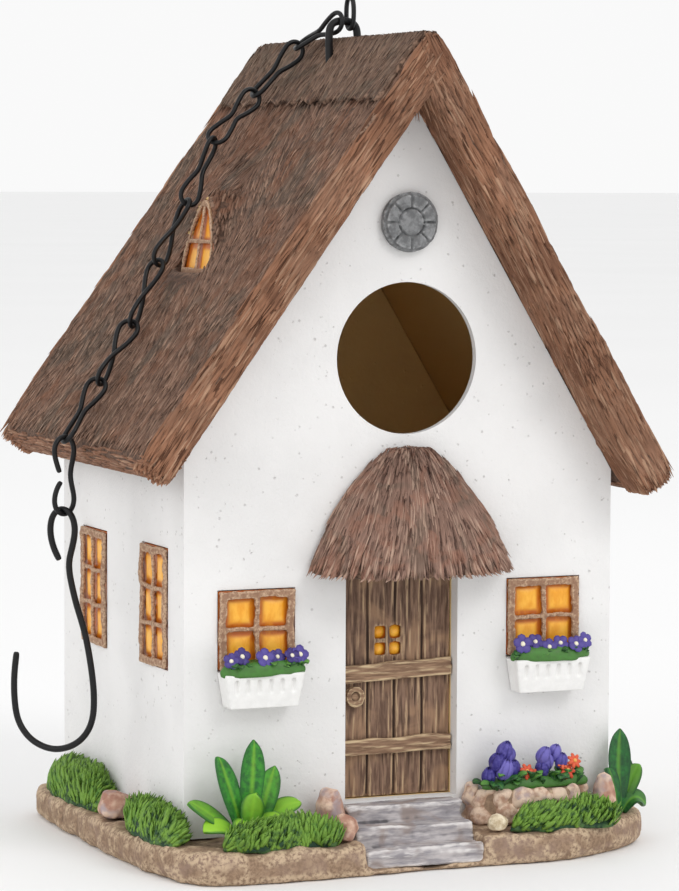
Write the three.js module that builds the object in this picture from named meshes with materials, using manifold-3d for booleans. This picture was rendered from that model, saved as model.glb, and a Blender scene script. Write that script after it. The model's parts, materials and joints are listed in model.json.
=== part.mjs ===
// A hanging birdhouse in the shape of a thatched cottage, cast in resin, with a jack chain and an S-hook.
// Millimetres, +Z up, the front looks along -Y, and the origin is the middle of the underside.
import * as THREE from "three";
import { mergeVertices } from "three/addons/utils/BufferGeometryUtils.js";
import Module from "manifold-3d";

const wasm = await Module();
wasm.setup();

// ---- driving sizes -------------------------------------------------------------------------

const GAP = 0.3; // between pieces that rest on each other
const FIT = 0.3; // all round a piece that sits in a pocket

const HOUSE_WIDTH = 116.6;
const HOUSE_DEPTH = 92;
const WALL = 4;
const FLOOR = 6;
const BASE_HEIGHT = 8;

const APEX_X = 1.4; // the gable is a little lopsided, as on a real cottage
const LEFT_PITCH = THREE.MathUtils.degToRad(54.2);
const RIGHT_PITCH = THREE.MathUtils.degToRad(59.1);
const EAVES_HEIGHT = 109.3; // underside of the thatch at the left wall
const APEX_Z = EAVES_HEIGHT + (HOUSE_WIDTH / 2 + APEX_X) * Math.tan(LEFT_PITCH); // and at the ridge
const THATCH = 9.2;
const EAVE_LEFT = 8.6; // eaves and gables stand out past the walls by these
const EAVE_RIGHT = 3.6;
const GABLE_FRONT = 13.1;
const GABLE_BACK = 8;
const RIDGE_ROUND = 6.4;

const CAP_LENGTH = 10; // down each slope
const CAP_PROUD = 0.7;
const CAP_SUNK = 0.9;
const CAP_ROUND = 7.7;
const CAP_INSET = 2;

const HOLE_DIAMETER = 38;
const HOLE_HEIGHT = APEX_Z - 66.2;
const HOLE_X = 1;
const HOLE_EDGE = 2; // the wall is thinned to this round the hole, from inside
const HOLE_RELIEF = 4;

const DOOR_WIDTH = 30.6;
const DOOR_BOTTOM = 15;
const DOOR_TOP = 72;
const DOOR_REVEAL = 4.2;
const LEAF_THICKNESS = 2.4;
const PLANKS = 4;
const GROOVE = 0.7;
const BATTEN_PROUD = 1.5;
const UPPER_BATTEN = [44.9, 49.3];
const LOWER_BATTEN = [26.2, 30.3];
const DOOR_PANE = 3.1;
const DOOR_LIGHT_X = -2;
const DOOR_LIGHT_Z = 54.6;
const KNOB_RADIUS = 2.6;

const FRAME_PROUD = 1.1;
const FRAME_BAR = 1.9;
const GLAZING_BAR = 1.1;
const PANE_THICKNESS = 1.2;
const POCKET_DEPTH = 1.8;
const FRONT_WINDOW = { width: 20, height: 19.5, bottom: 49.8, columns: 2, rows: 2 };
const FRONT_WINDOW_X = HOUSE_WIDTH / 2 - 19.1;
const SIDE_WINDOW = { width: 18.5, height: 30, bottom: 49, columns: 2, rows: 3 };
const SIDE_WINDOW_FRONT = -HOUSE_DEPTH / 2 + 20.7;
const SIDE_WINDOW_REAR = HOUSE_DEPTH / 2 - 25.5;

const BOX_HEIGHT = 8.5;
const BOX_DEPTH = 6.5;
const BOX_SLOTS = 6;
const PANSY_HEIGHT = 6.5;

const CANOPY_WIDTH = 53.4;
const CANOPY_DEPTH = 17;
const CANOPY_BOTTOM = 72.5;
const CANOPY_HEIGHT = 31;

const ROSETTE_RADIUS = 7.5;
const ROSETTE_HEIGHT = APEX_Z - 32.3;
const ROSETTE_THICKNESS = 2.6;

const DORMER_Y = -5.5;
const DORMER_SILL = APEX_Z - 46.4;
const DORMER_WIDTH = 21;
const DORMER_HEIGHT = 19.8;
const DORMER_LEAN = THREE.MathUtils.degToRad(9);
const HOOD_THATCH = 1.7;
const HOOD_PROUD = 0.3;
const DORMER_SET_BACK = 2.7;
const DORMER_FRAME = 0.8; // how thick its frame is

const STEP_WIDTH = 31.5;
const STEP_X = -1.8;
const STEP_DEPTH = 6.4;
const STEP_RISE = 4.5;
const STEP_SUNK = 6.5; // how deep the flight is let into the ground

const PLUG_Y = HOUSE_DEPTH / 2 - 24;
const PLUG_RADIUS = 14;
const PLUG_FLANGE = 16.5;
const PLUG_FLANGE_THICKNESS = 3;
const PLUG_RECESS = 1;

const WIRE = 1.25; // chain wire
const LINK_PITCH = 18; // on a slope CHAIN_SLOPE long
const CHAIN_SLOPE = 116.76;
const LINK_RADIUS = 2.6;
const HANGING_LINK_RADIUS = 3.4;
const WIRE_GAP = 0.3; // between two hooked wires
const EYE_WIRE = 2;
const EYE_WIDTH = 7.6;
const EYE_Y = -6.5;
const EYE_CLEAR = 4; // from the ridge cap up to the middle of the eye's wire
const HOOK_WIRE = 1.6;
const HOOK_LOOP = 3.5;
const HOOK_BOWL = 11.1;
const HOOK_LENGTH = 61.2;

// ---- materials -----------------------------------------------------------------------------

const finish = (color, roughness, metalness = 0) =>
  new THREE.MeshStandardMaterial({ color, roughness, metalness });
const FINISHES = {
  stucco: finish(0xebe9e8, 0.85),
  thatch: finish(0x69554a, 0.9),
  cap: finish(0x6b584c, 0.85),
  soil: finish(0xbe9b6e, 0.9),
  twig: finish(0x96735f, 0.8),
  amber: finish(0xf0aa2d, 0.35),
  wood: finish(0x644837, 0.8),
  batten: finish(0xa58c5f, 0.8),
  grey: finish(0x969696, 0.7),
  white: finish(0xf4f3f1, 0.6),
  step: finish(0x8c8787, 0.85),
  stone: finish(0xb4826e, 0.85),
  leaf: finish(0x2e8a2c, 0.6),
  grass: finish(0x4c8f2a, 0.7),
  pansy: finish(0x4b3c82, 0.6),
  bloom: finish(0xd75532, 0.6),
  pebble: finish(0xd8c6a4, 0.8),
  steel: finish(0x1c1d1f, 0.4, 0.6),
  rubber: finish(0x303030, 0.9),
};

// ---- solids --------------------------------------------------------------------------------

function toSolid(geometry) {
  const bare = geometry.clone();
  bare.deleteAttribute("normal");
  bare.deleteAttribute("uv");
  const merged = mergeVertices(bare, 1e-4);
  const vertProperties = Float32Array.from(merged.attributes.position.array);
  const triVerts = Uint32Array.from(merged.index.array);
  return new wasm.Manifold(new wasm.Mesh({ numProp: 3, vertProperties, triVerts }));
}

function toGeometry(solid) {
  const mesh = solid.getMesh();
  const geometry = new THREE.BufferGeometry();
  geometry.setAttribute("position", new THREE.BufferAttribute(Float32Array.from(mesh.vertProperties), 3));
  geometry.setIndex(new THREE.BufferAttribute(Uint32Array.from(mesh.triVerts), 1));
  geometry.computeVertexNormals();
  return geometry;
}

const joined = (solids) => solids.reduce((sum, solid) => sum.add(solid));
const cut = (solid, tools) => tools.reduce((rest, tool) => rest.subtract(tool), solid);

const birdhouse = new THREE.Group();

function addPiece(name, solid, material) {
  const mesh = new THREE.Mesh(toGeometry(solid), FINISHES[material]);
  mesh.name = name;
  birdhouse.add(mesh);
}

function shapeOf(points) {
  return new THREE.Shape(points.map(([x, y]) => new THREE.Vector2(x, y)));
}

// A shape drawn in X and Z, run along Y from one place to another.
function alongY(shape, from, to) {
  const settings = { depth: to - from, bevelEnabled: false, curveSegments: 6 };
  const geometry = new THREE.ExtrudeGeometry(shape, settings);
  geometry.rotateX(Math.PI / 2);
  geometry.translate(0, to, 0);
  return toSolid(geometry);
}

// A shape drawn in Y and Z, run along X.
function alongX(shape, from, to) {
  const settings = { depth: to - from, bevelEnabled: false, curveSegments: 6 };
  const geometry = new THREE.ExtrudeGeometry(shape, settings);
  geometry.rotateX(Math.PI / 2);
  geometry.rotateZ(Math.PI / 2);
  geometry.translate(from, 0, 0);
  return toSolid(geometry);
}

function boxOf(x0, x1, y0, y1, z0, z1) {
  const geometry = new THREE.BoxGeometry(x1 - x0, y1 - y0, z1 - z0);
  geometry.translate((x0 + x1) / 2, (y0 + y1) / 2, (z0 + z1) / 2);
  return toSolid(geometry);
}

// A round rod along Y whose middle is at (x, z).
function rodAlongY(radius, x, z, from, to, sides = 40) {
  const geometry = new THREE.CylinderGeometry(radius, radius, to - from, sides);
  geometry.translate(x, (from + to) / 2, z);
  return toSolid(geometry);
}

function rodAlongZ(radius, x, y, from, to, sides = 40) {
  const geometry = new THREE.CylinderGeometry(radius, radius, to - from, sides);
  geometry.rotateX(Math.PI / 2);
  geometry.translate(x, y, (from + to) / 2);
  return toSolid(geometry);
}

// ---- places that several pieces share --------------------------------------------------------

const halfWidth = HOUSE_WIDTH / 2;
const halfDepth = HOUSE_DEPTH / 2;
const wallBottom = BASE_HEIGHT + GAP;
const floorTop = wallBottom + FLOOR;
const roofFront = -halfDepth - GABLE_FRONT;
const roofBack = halfDepth + GABLE_BACK;
const gardenFloor = BASE_HEIGHT + GAP;
const wallFace = -halfDepth - GAP; // where pieces that hang on the front wall begin

const downLeft = new THREE.Vector2(-Math.cos(LEFT_PITCH), -Math.sin(LEFT_PITCH));
const downRight = new THREE.Vector2(Math.cos(RIGHT_PITCH), -Math.sin(RIGHT_PITCH));
const outLeft = new THREE.Vector2(-Math.sin(LEFT_PITCH), Math.cos(LEFT_PITCH));
const outRight = new THREE.Vector2(Math.sin(RIGHT_PITCH), Math.cos(RIGHT_PITCH));
const apex = new THREE.Vector2(APEX_X, APEX_Z);
const leftSlope = (halfWidth + EAVE_LEFT + APEX_X) / Math.cos(LEFT_PITCH);
const rightSlope = (halfWidth + EAVE_RIGHT - APEX_X) / Math.cos(RIGHT_PITCH);

// The ridge of both slopes when each is moved outwards by the same distance.
function ridgeAt(offset) {
  const halfAngle = (Math.PI - LEFT_PITCH - RIGHT_PITCH) / 2;
  const lean = (LEFT_PITCH - RIGHT_PITCH) / 2;
  const reach = offset / Math.sin(halfAngle);
  return new THREE.Vector2(APEX_X - reach * Math.sin(lean), APEX_Z + reach * Math.cos(lean));
}

const leftPoint = (along, offset) =>
  apex.clone().addScaledVector(downLeft, along).addScaledVector(outLeft, offset);
const rightPoint = (along, offset) =>
  apex.clone().addScaledVector(downRight, along).addScaledVector(outRight, offset);

// A path over the ridge: up the left slope, round the top, and down the right slope.
function overRidge(path, offset, leftEnd, rightEnd, round) {
  const ridge = ridgeAt(offset);
  const shoulderLeft = ridge.clone().addScaledVector(downLeft, round);
  const shoulderRight = ridge.clone().addScaledVector(downRight, round);
  const start = leftPoint(leftEnd, offset);
  const end = rightPoint(rightEnd, offset);
  path.lineTo(start.x, start.y);
  path.lineTo(shoulderLeft.x, shoulderLeft.y);
  path.quadraticCurveTo(ridge.x, ridge.y, shoulderRight.x, shoulderRight.y);
  path.lineTo(end.x, end.y);
}

// ---- walls, ground and door openings ----------------------------------------------------------

function wallBlock() {
  const leftTop = leftPoint((halfWidth + APEX_X) / Math.cos(LEFT_PITCH), 0);
  const rightTop = rightPoint((halfWidth - APEX_X) / Math.cos(RIGHT_PITCH), 0);
  const drop = GAP / Math.cos(RIGHT_PITCH);
  return alongY(shapeOf([
    [-halfWidth, wallBottom],
    [halfWidth, wallBottom],
    [halfWidth, rightTop.y - drop],
    [APEX_X, APEX_Z - drop],
    [-halfWidth, leftTop.y - drop],
  ]), -halfDepth, halfDepth);
}

const doorRecess = DOOR_REVEAL + LEAF_THICKNESS + GAP;
const doorHalf = DOOR_WIDTH / 2;

function buildWalls(windowPockets) {
  const inner = halfWidth - WALL;
  const room = boxOf(-inner, inner, -halfDepth + WALL, halfDepth - WALL, floorTop, APEX_Z);
  const backingFront = -halfDepth + WALL - 1;
  const backingBack = -halfDepth + doorRecess + WALL / 2;
  const doorBacking = boxOf(-doorHalf - WALL / 2, doorHalf + WALL / 2, backingFront, backingBack,
    floorTop - 1, DOOR_TOP + WALL / 2);
  const shell = wallBlock().subtract(room).add(doorBacking);
  const inside = -halfDepth + WALL;
  const entrance = rodAlongY(HOLE_DIAMETER / 2, HOLE_X, HOLE_HEIGHT, -halfDepth - 1, inside + 1, 64);
  const doorway = boxOf(-doorHalf, doorHalf, -halfDepth - 1, -halfDepth + doorRecess, DOOR_BOTTOM, DOOR_TOP);
  const relief = rodAlongY(HOLE_DIAMETER / 2 + HOLE_RELIEF, HOLE_X, HOLE_HEIGHT, -halfDepth + HOLE_EDGE,
    -halfDepth + WALL + 1, 64);
  const plugHole = rodAlongZ(PLUG_RADIUS + FIT, 0, PLUG_Y, wallBottom - 1, floorTop + 1);
  addPiece("house_walls", cut(shell, [entrance, relief, doorway, plugHole, ...windowPockets]), "stucco");
}

// Corners of the ground, as shares of the half width and half depth of the house plus a margin.
const GROUND = [
  [-1, -1.7, -1, -19], [-0.72, 0, -1, -22], [-0.34, 0, -1, -21.5], [0.31, 0, -1, -20.5],
  [0.59, 0, -1, -21], [0.89, 0, -1, -15], [1, 3.7, -1, -8], [1, 10.2, -1, 1],
  [1, 9.2, 0, 0], [1, 6.7, 1, -4], [1, 0, 1, 4], [0, 0, 1, 5],
  [-1, -1.7, 1, 5], [-1, -7.7, 1, 0], [-1, -10.2, 0, 3], [-1, -10.2, -0.565, 0], [-1, -7.2, -1, -6],
];
const GROUND_BEVEL = 1.4;

function buildGround() {
  const corners = GROUND.map(([sideways, x, back, y]) =>
    new THREE.Vector3(sideways * halfWidth + x, back * halfDepth + y, 0));
  const edge = new THREE.CatmullRomCurve3(corners, true).getPoints(68);
  const outline = shapeOf(edge.slice(0, -1).map((point) => [point.x, point.y]));
  const geometry = new THREE.ExtrudeGeometry(outline, {
    depth: BASE_HEIGHT - 2 * GROUND_BEVEL,
    bevelSize: GROUND_BEVEL,
    bevelThickness: GROUND_BEVEL,
    bevelOffset: -GROUND_BEVEL,
    bevelSegments: 2,
  });
  geometry.translate(0, 0, GROUND_BEVEL);
  const reach = STEP_WIDTH / 2 + FIT;
  const flight = boxOf(STEP_X - reach, STEP_X + reach, -2 * halfDepth, wallFace + GAP,
    BASE_HEIGHT - STEP_SUNK - GAP, BASE_HEIGHT + 1);
  const plugHole = rodAlongZ(PLUG_RADIUS + FIT, 0, PLUG_Y, -1, BASE_HEIGHT + 1);
  const flangeSeat = rodAlongZ(PLUG_FLANGE + FIT, 0, PLUG_Y, -1, PLUG_RECESS + PLUG_FLANGE_THICKNESS + GAP);
  addPiece("base_plinth", cut(toSolid(geometry), [flight, plugHole, flangeSeat]), "soil");
}

function buildPlug() {
  const flangeTop = PLUG_RECESS + PLUG_FLANGE_THICKNESS;
  const profile = [
    [0, PLUG_RECESS], [PLUG_FLANGE, PLUG_RECESS], [PLUG_FLANGE, flangeTop], [PLUG_RADIUS, flangeTop],
    [PLUG_RADIUS, floorTop - 1], [PLUG_RADIUS - 1, floorTop], [0, floorTop],
  ];
  const geometry = new THREE.LatheGeometry(profile.map(([r, z]) => new THREE.Vector2(r, z)), 40);
  geometry.rotateX(Math.PI / 2);
  geometry.translate(0, PLUG_Y, 0);
  addPiece("clean_out_plug", toSolid(geometry), "rubber");
}

// ---- door and steps -----------------------------------------------------------------------------

function buildDoor() {
  const face = -halfDepth + DOOR_REVEAL;
  const back = face + LEAF_THICKNESS;
  const left = -doorHalf + FIT;
  const right = doorHalf - FIT;
  const plank = (right - left) / PLANKS;
  const leaf = boxOf(left, right, face, back, DOOR_BOTTOM + FIT, DOOR_TOP - FIT);
  const grooves = [];
  for (let seam = 1; seam < PLANKS; seam += 1) {
    const x = left + seam * plank;
    grooves.push(boxOf(x - GROOVE / 2, x + GROOVE / 2, face - 1, face + GROOVE, DOOR_BOTTOM, DOOR_TOP));
  }
  const middle = (DOOR_PANE + GLAZING_BAR) / 2;
  for (const dx of [-middle, middle]) {
    for (const dz of [-middle, middle]) {
      const x = DOOR_LIGHT_X + dx;
      const z = DOOR_LIGHT_Z + dz;
      const half = DOOR_PANE / 2;
      grooves.push(boxOf(x - half, x + half, face - 1, back + 1, z - half, z + half));
    }
  }
  const glass = middle + DOOR_PANE / 2 + FIT;
  const reach = glass + FIT;
  const rebate = boxOf(DOOR_LIGHT_X - reach, DOOR_LIGHT_X + reach, back - PANE_THICKNESS - GAP, back + 1,
    DOOR_LIGHT_Z - reach, DOOR_LIGHT_Z + reach);
  addPiece("door_leaf", cut(leaf, [...grooves, rebate]), "wood");
  addPiece("door_light", boxOf(DOOR_LIGHT_X - glass, DOOR_LIGHT_X + glass, back - PANE_THICKNESS, back,
    DOOR_LIGHT_Z - glass, DOOR_LIGHT_Z + glass), "amber");
  for (const [name, span] of [["upper_batten", UPPER_BATTEN], ["lower_batten", LOWER_BATTEN]]) {
    addPiece(name, boxOf(left, right, face - GAP - BATTEN_PROUD, face - GAP, span[0], span[1]), "batten");
  }
  const knobHeight = (UPPER_BATTEN[0] + LOWER_BATTEN[1]) / 2 + 3.4;
  const knobX = left + KNOB_RADIUS + 1;
  const ring = rodAlongY(KNOB_RADIUS, knobX, knobHeight, face - GAP - 1.6, face - GAP, 20);
  const hollow = rodAlongY(KNOB_RADIUS * 0.45, knobX, knobHeight, face - GAP - 3, face - GAP - 0.9, 16);
  addPiece("door_knob", ring.subtract(hollow), "batten");
}

function buildSteps() {
  const bottom = BASE_HEIGHT - STEP_SUNK;
  const back = wallFace;
  const profile = [[back, bottom]];
  const treads = 3;
  for (let tread = 0; tread < treads; tread += 1) {
    const front = back - (treads - tread) * STEP_DEPTH;
    const top = DOOR_BOTTOM - (treads - 1 - tread) * STEP_RISE;
    profile.push([front, tread === 0 ? bottom : top - STEP_RISE]);
    profile.push([front, top]);
  }
  profile.push([back, DOOR_BOTTOM]);
  const flight = alongX(shapeOf(profile), STEP_X - STEP_WIDTH / 2, STEP_X + STEP_WIDTH / 2);
  addPiece("stepping_stones", flight, "step");
}

// ---- windows --------------------------------------------------------------------------------------

// Turns a piece made on the front wall round to another wall.
function onWall(solid, turn) {
  return solid.rotate([0, 0, turn]);
}

// The holes between a window's bars.
function paneHoles(width, height, columns, rows, x, z, from, to) {
  const paneWidth = (width - 2 * FRAME_BAR - (columns - 1) * GLAZING_BAR) / columns;
  const paneHeight = (height - 2 * FRAME_BAR - (rows - 1) * GLAZING_BAR) / rows;
  const holes = [];
  for (let column = 0; column < columns; column += 1) {
    for (let row = 0; row < rows; row += 1) {
      const px = x - width / 2 + FRAME_BAR + column * (paneWidth + GLAZING_BAR);
      const pz = z + FRAME_BAR + row * (paneHeight + GLAZING_BAR);
      holes.push(boxOf(px, px + paneWidth, from - 1, to + 1, pz, pz + paneHeight));
    }
  }
  return holes;
}

// Adds a window's frame and panes, and returns the pocket that the wall needs for them.
function buildWindow(name, window, x, distance, turn) {
  const { width, height, bottom, columns, rows } = window;
  const pocketBack = -distance + POCKET_DEPTH;
  const paneFront = pocketBack - GAP - PANE_THICKNESS;
  const frameFront = -distance - FRAME_PROUD;
  const frameBack = paneFront - GAP;
  const block = boxOf(x - width / 2, x + width / 2, frameFront, frameBack, bottom, bottom + height);
  const frame = cut(block, paneHoles(width, height, columns, rows, x, bottom, frameFront, frameBack));
  const panes = boxOf(x - width / 2, x + width / 2, paneFront, paneFront + PANE_THICKNESS,
    bottom, bottom + height);
  addPiece(`${name}_frame`, onWall(frame, turn), "twig");
  addPiece(`${name}_panes`, onWall(panes, turn), "amber");
  const pocket = boxOf(x - width / 2 - FIT, x + width / 2 + FIT, -distance - 1, pocketBack,
    bottom - FIT, bottom + height + FIT);
  return onWall(pocket, turn);
}

function buildWindows() {
  const left = -90;
  const right = 90;
  return [
    buildWindow("front_left_window", FRONT_WINDOW, -FRONT_WINDOW_X, halfDepth, 0),
    buildWindow("front_right_window", FRONT_WINDOW, FRONT_WINDOW_X, halfDepth, 0),
    buildWindow("left_front_window", SIDE_WINDOW, -SIDE_WINDOW_FRONT, halfWidth, left),
    buildWindow("left_rear_window", SIDE_WINDOW, -SIDE_WINDOW_REAR, halfWidth, left),
    buildWindow("right_front_window", SIDE_WINDOW, SIDE_WINDOW_FRONT, halfWidth, right),
    buildWindow("right_rear_window", SIDE_WINDOW, SIDE_WINDOW_REAR, halfWidth, right),
  ];
}

// ---- roof -------------------------------------------------------------------------------------------

function slabShape() {
  const shape = new THREE.Shape();
  const leftTip = leftPoint(leftSlope, 0);
  const rightTip = rightPoint(rightSlope, 0);
  const tipRound = THATCH * 0.35;
  shape.moveTo(leftTip.x, leftTip.y);
  const leftNose = leftPoint(leftSlope, THATCH - tipRound);
  shape.lineTo(leftNose.x, leftNose.y);
  overRidge(shape, THATCH, leftSlope - tipRound, rightSlope - tipRound, RIDGE_ROUND);
  const rightNose = rightPoint(rightSlope, THATCH - tipRound);
  shape.lineTo(rightNose.x, rightNose.y);
  shape.lineTo(rightTip.x, rightTip.y);
  shape.lineTo(APEX_X, APEX_Z);
  return shape;
}

// The band over the ridge between two offsets from the underside of the thatch.
function capShape(low, high, length, round) {
  const shape = new THREE.Shape();
  const start = leftPoint(length, low);
  shape.moveTo(start.x, start.y);
  overRidge(shape, high, length, length, round);
  const ridge = ridgeAt(low);
  const shoulderRight = ridge.clone().addScaledVector(downRight, RIDGE_ROUND);
  const shoulderLeft = ridge.clone().addScaledVector(downLeft, RIDGE_ROUND);
  const end = rightPoint(length, low);
  shape.lineTo(end.x, end.y);
  shape.lineTo(shoulderRight.x, shoulderRight.y);
  shape.quadraticCurveTo(ridge.x, ridge.y, shoulderLeft.x, shoulderLeft.y);
  return shape;
}

// The dormer is drawn upright in Y and Z about the middle of its sill.
function dormerArch(widthExtra, heightExtra, drop) {
  const half = DORMER_WIDTH / 2 + widthExtra;
  const top = DORMER_HEIGHT + heightExtra;
  const shoulder = half * 0.22;
  const shape = new THREE.Shape();
  shape.moveTo(-half, -drop);
  shape.lineTo(half, -drop);
  shape.quadraticCurveTo(half * 0.94, top * 0.62, shoulder, top * 0.96);
  shape.quadraticCurveTo(0, top * 1.02, -shoulder, top * 0.96);
  shape.quadraticCurveTo(-half * 0.94, top * 0.62, -half, -drop);
  return shape;
}

const dormerFace = leftPoint(0, THATCH).x - (leftPoint(0, THATCH).y - DORMER_SILL) / Math.tan(LEFT_PITCH)
  + DORMER_SET_BACK;
const leanDegrees = THREE.MathUtils.radToDeg(DORMER_LEAN);
const eyeFoot = APEX_Z + THATCH * 0.75; // how far the eye's legs reach down into the thatch
const inDormer = (solid) => solid.rotate([0, leanDegrees, 0]).translate([dormerFace, DORMER_Y, DORMER_SILL]);
const dormerPocket = PANE_THICKNESS + 2 * GAP + DORMER_FRAME;

function buildRoof() {
  const slab = alongY(slabShape(), roofFront, roofBack);
  const underLine = [leftPoint(leftSlope * 2, THATCH / 2), leftPoint(-THATCH, THATCH / 2)];
  const above = alongY(shapeOf([
    [underLine[0].x, underLine[0].y],
    [underLine[1].x, underLine[1].y],
    [underLine[0].x, underLine[1].y],
  ]), roofFront, roofBack);
  const hoodShape = dormerArch(HOOD_THATCH, HOOD_THATCH, 2);
  const hood = inDormer(alongX(hoodShape, -HOOD_PROUD, DORMER_WIDTH * 1.2)).intersect(above);
  const opening = inDormer(alongX(dormerArch(FIT, FIT, FIT), -HOOD_THATCH, dormerPocket));
  const capBed = alongY(capShape(THATCH - CAP_SUNK - GAP, THATCH + 4 * CAP_PROUD, CAP_LENGTH + GAP, CAP_ROUND),
    roofFront + CAP_INSET - GAP, roofBack - CAP_INSET + GAP);
  const legHoles = [-1, 1].map((side) =>
    rodAlongZ(EYE_WIRE / 2 + FIT, side * EYE_WIDTH / 2, EYE_Y, eyeFoot - GAP, APEX_Z + 3 * THATCH, 16));
  addPiece("thatch_roof", cut(slab.add(hood), [opening, capBed, ...legHoles]), "thatch");
  const cap = alongY(capShape(THATCH - CAP_SUNK, THATCH + CAP_PROUD, CAP_LENGTH, CAP_ROUND),
    roofFront + CAP_INSET, roofBack - CAP_INSET);
  addPiece("ridge_cap", cut(cap, legHoles), "cap");
}

function buildDormer() {
  const frameShape = dormerArch(0, 0, 0);
  const outer = alongX(frameShape, 0, DORMER_FRAME);
  const inner = alongX(dormerArch(-1.2, -1.4, -FRAME_BAR), -1, DORMER_FRAME + 1);
  const half = DORMER_WIDTH / 2;
  const bar = DORMER_HEIGHT * 0.42;
  const bars = joined([
    boxOf(0, DORMER_FRAME, -GLAZING_BAR / 2, GLAZING_BAR / 2, 1, DORMER_HEIGHT * 0.95),
    boxOf(0, DORMER_FRAME, -half * 0.9, half * 0.9, bar, bar + GLAZING_BAR),
  ]).intersect(outer);
  addPiece("attic_window_frame", inDormer(outer.subtract(inner).add(bars)), "twig");
  const paneFront = DORMER_FRAME + GAP;
  const panes = alongX(frameShape, paneFront, paneFront + PANE_THICKNESS);
  addPiece("attic_window_panes", inDormer(panes), "amber");
}

// ---- porch canopy and gable rosette ---------------------------------------------------------------

function buildCanopy() {
  const half = CANOPY_WIDTH / 2;
  const steps = 12;
  const profile = [new THREE.Vector2(0, 0), new THREE.Vector2(half * 0.95, 0)];
  for (let step = 0; step <= steps; step += 1) {
    const rise = step / steps;
    const radius = half * Math.sqrt(1 - rise ** 1.12);
    profile.push(new THREE.Vector2(step === steps ? 0 : radius, 1.5 + (CANOPY_HEIGHT - 1.5) * rise));
  }
  const geometry = new THREE.LatheGeometry(profile, 36);
  geometry.rotateX(Math.PI / 2);
  geometry.scale(1, CANOPY_DEPTH / half, 1);
  geometry.translate(HOLE_X, wallFace, CANOPY_BOTTOM);
  const inFront = boxOf(-2 * half, 2 * half, wallFace - 2 * half, wallFace, 0, APEX_Z);
  addPiece("porch_canopy", toSolid(geometry).intersect(inFront), "thatch");
}

function buildRosette() {
  const line = 0.6; // width and depth of the incised lines
  const boss = ROSETTE_RADIUS * 0.42;
  const front = wallFace - ROSETTE_THICKNESS;
  const disc = rodAlongY(ROSETTE_RADIUS, HOLE_X, ROSETTE_HEIGHT, front + 0.8, wallFace, 40);
  const raised = rodAlongY(ROSETTE_RADIUS - 0.8, HOLE_X, ROSETTE_HEIGHT, front, wallFace, 40);
  const ring = rodAlongY(boss + line, HOLE_X, ROSETTE_HEIGHT, front - 1, front + line, 24)
    .subtract(rodAlongY(boss, HOLE_X, ROSETTE_HEIGHT, front - 2, front + 1, 24));
  const spokes = [];
  for (let turn = 0; turn < 8; turn += 1) {
    const spoke = boxOf(boss + line / 2, ROSETTE_RADIUS + 1, front - 1, front + line, -line / 2, line / 2);
    spokes.push(spoke.rotate([0, turn * 45, 0]).translate([HOLE_X, 0, ROSETTE_HEIGHT]));
  }
  addPiece("gable_rosette", cut(disc.add(raised), [ring, ...spokes]), "grey");
}

// ---- garden ------------------------------------------------------------------------------------------

// The same steady sequence of numbers between 0 and 1 for every seed.
function sequence(seed) {
  let state = seed;
  return () => {
    state = (state * 16807) % 2147483647;
    return state / 2147483647;
  };
}

const clearOfHouse = boxOf(-halfWidth - GAP, halfWidth + GAP, -halfDepth - GAP, halfDepth + GAP, 0, APEX_Z);
const overGround = boxOf(-2 * halfWidth, 2 * halfWidth, -3 * halfDepth, 3 * halfDepth, gardenFloor, APEX_Z);
const inGarden = (solid) => solid.intersect(overGround).subtract(clearOfHouse);

function lump(rx, ry, rz, seed, roughness = 0.12) {
  const random = sequence(seed);
  const ball = new THREE.IcosahedronGeometry(1, 1).deleteAttribute("normal").deleteAttribute("uv");
  const geometry = mergeVertices(ball, 1e-3);
  const position = geometry.attributes.position;
  for (let index = 0; index < position.count; index += 1) {
    const swell = 1 + roughness * (2 * random() - 1);
    position.setXYZ(index, position.getX(index) * swell * rx, position.getY(index) * swell * ry,
      position.getZ(index) * swell * rz);
  }
  return toSolid(geometry);
}

function buildRock(name, x, y, rx, ry, height, seed, material = "stone") {
  const stone = lump(rx, ry, height * 0.62, seed).translate([x, y, gardenFloor + height * 0.42]);
  addPiece(name, inGarden(stone), material);
}

// One broad leaf that leans away from the root in the given direction.
function leafSolid(length, width, thickness, lean, turn) {
  const geometry = new THREE.SphereGeometry(1, 8, 6);
  geometry.scale(thickness / 2, width / 2, length / 2);
  geometry.translate(0, 0, length / 2);
  return toSolid(geometry).rotate([0, lean, 0]).rotate([0, 0, turn]);
}

function buildPlant(name, x, y, leaves, squash, material) {
  const root = lump(4.5, 3.5, 3.5, 7);
  const solids = leaves.map(([length, width, lean, turn]) => leafSolid(length, width, 2.4, lean, turn));
  const plant = joined([root, ...solids]).scale([1, squash, 1]).translate([x, y, gardenFloor + 0.5]);
  addPiece(name, inGarden(plant), material);
}

// A tuft is a low bank of earth with blades that stand up from it.
function buildTuft(name, x, y, rx, ry, height, blades, seed) {
  const random = sequence(seed);
  const bank = lump(rx, ry, height * 0.55, seed, 0.08);
  const parts = [bank];
  for (let blade = 0; blade < blades; blade += 1) {
    const share = (blade + 0.5) / blades;
    const dx = (rx > ry ? 2 * share - 1 : random() - 0.5) * rx * 0.75;
    const dy = (rx > ry ? random() - 0.5 : 2 * share - 1) * ry * 0.75;
    const tall = height * (0.8 + 0.2 * random());
    const geometry = new THREE.ConeGeometry(1.9, tall, 5);
    geometry.rotateX(Math.PI / 2);
    geometry.translate(0, 0, tall / 2);
    parts.push(toSolid(geometry).translate([dx, dy, 0]));
  }
  addPiece(name, inGarden(joined(parts).translate([x, y, gardenFloor])), "grass");
}

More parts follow.
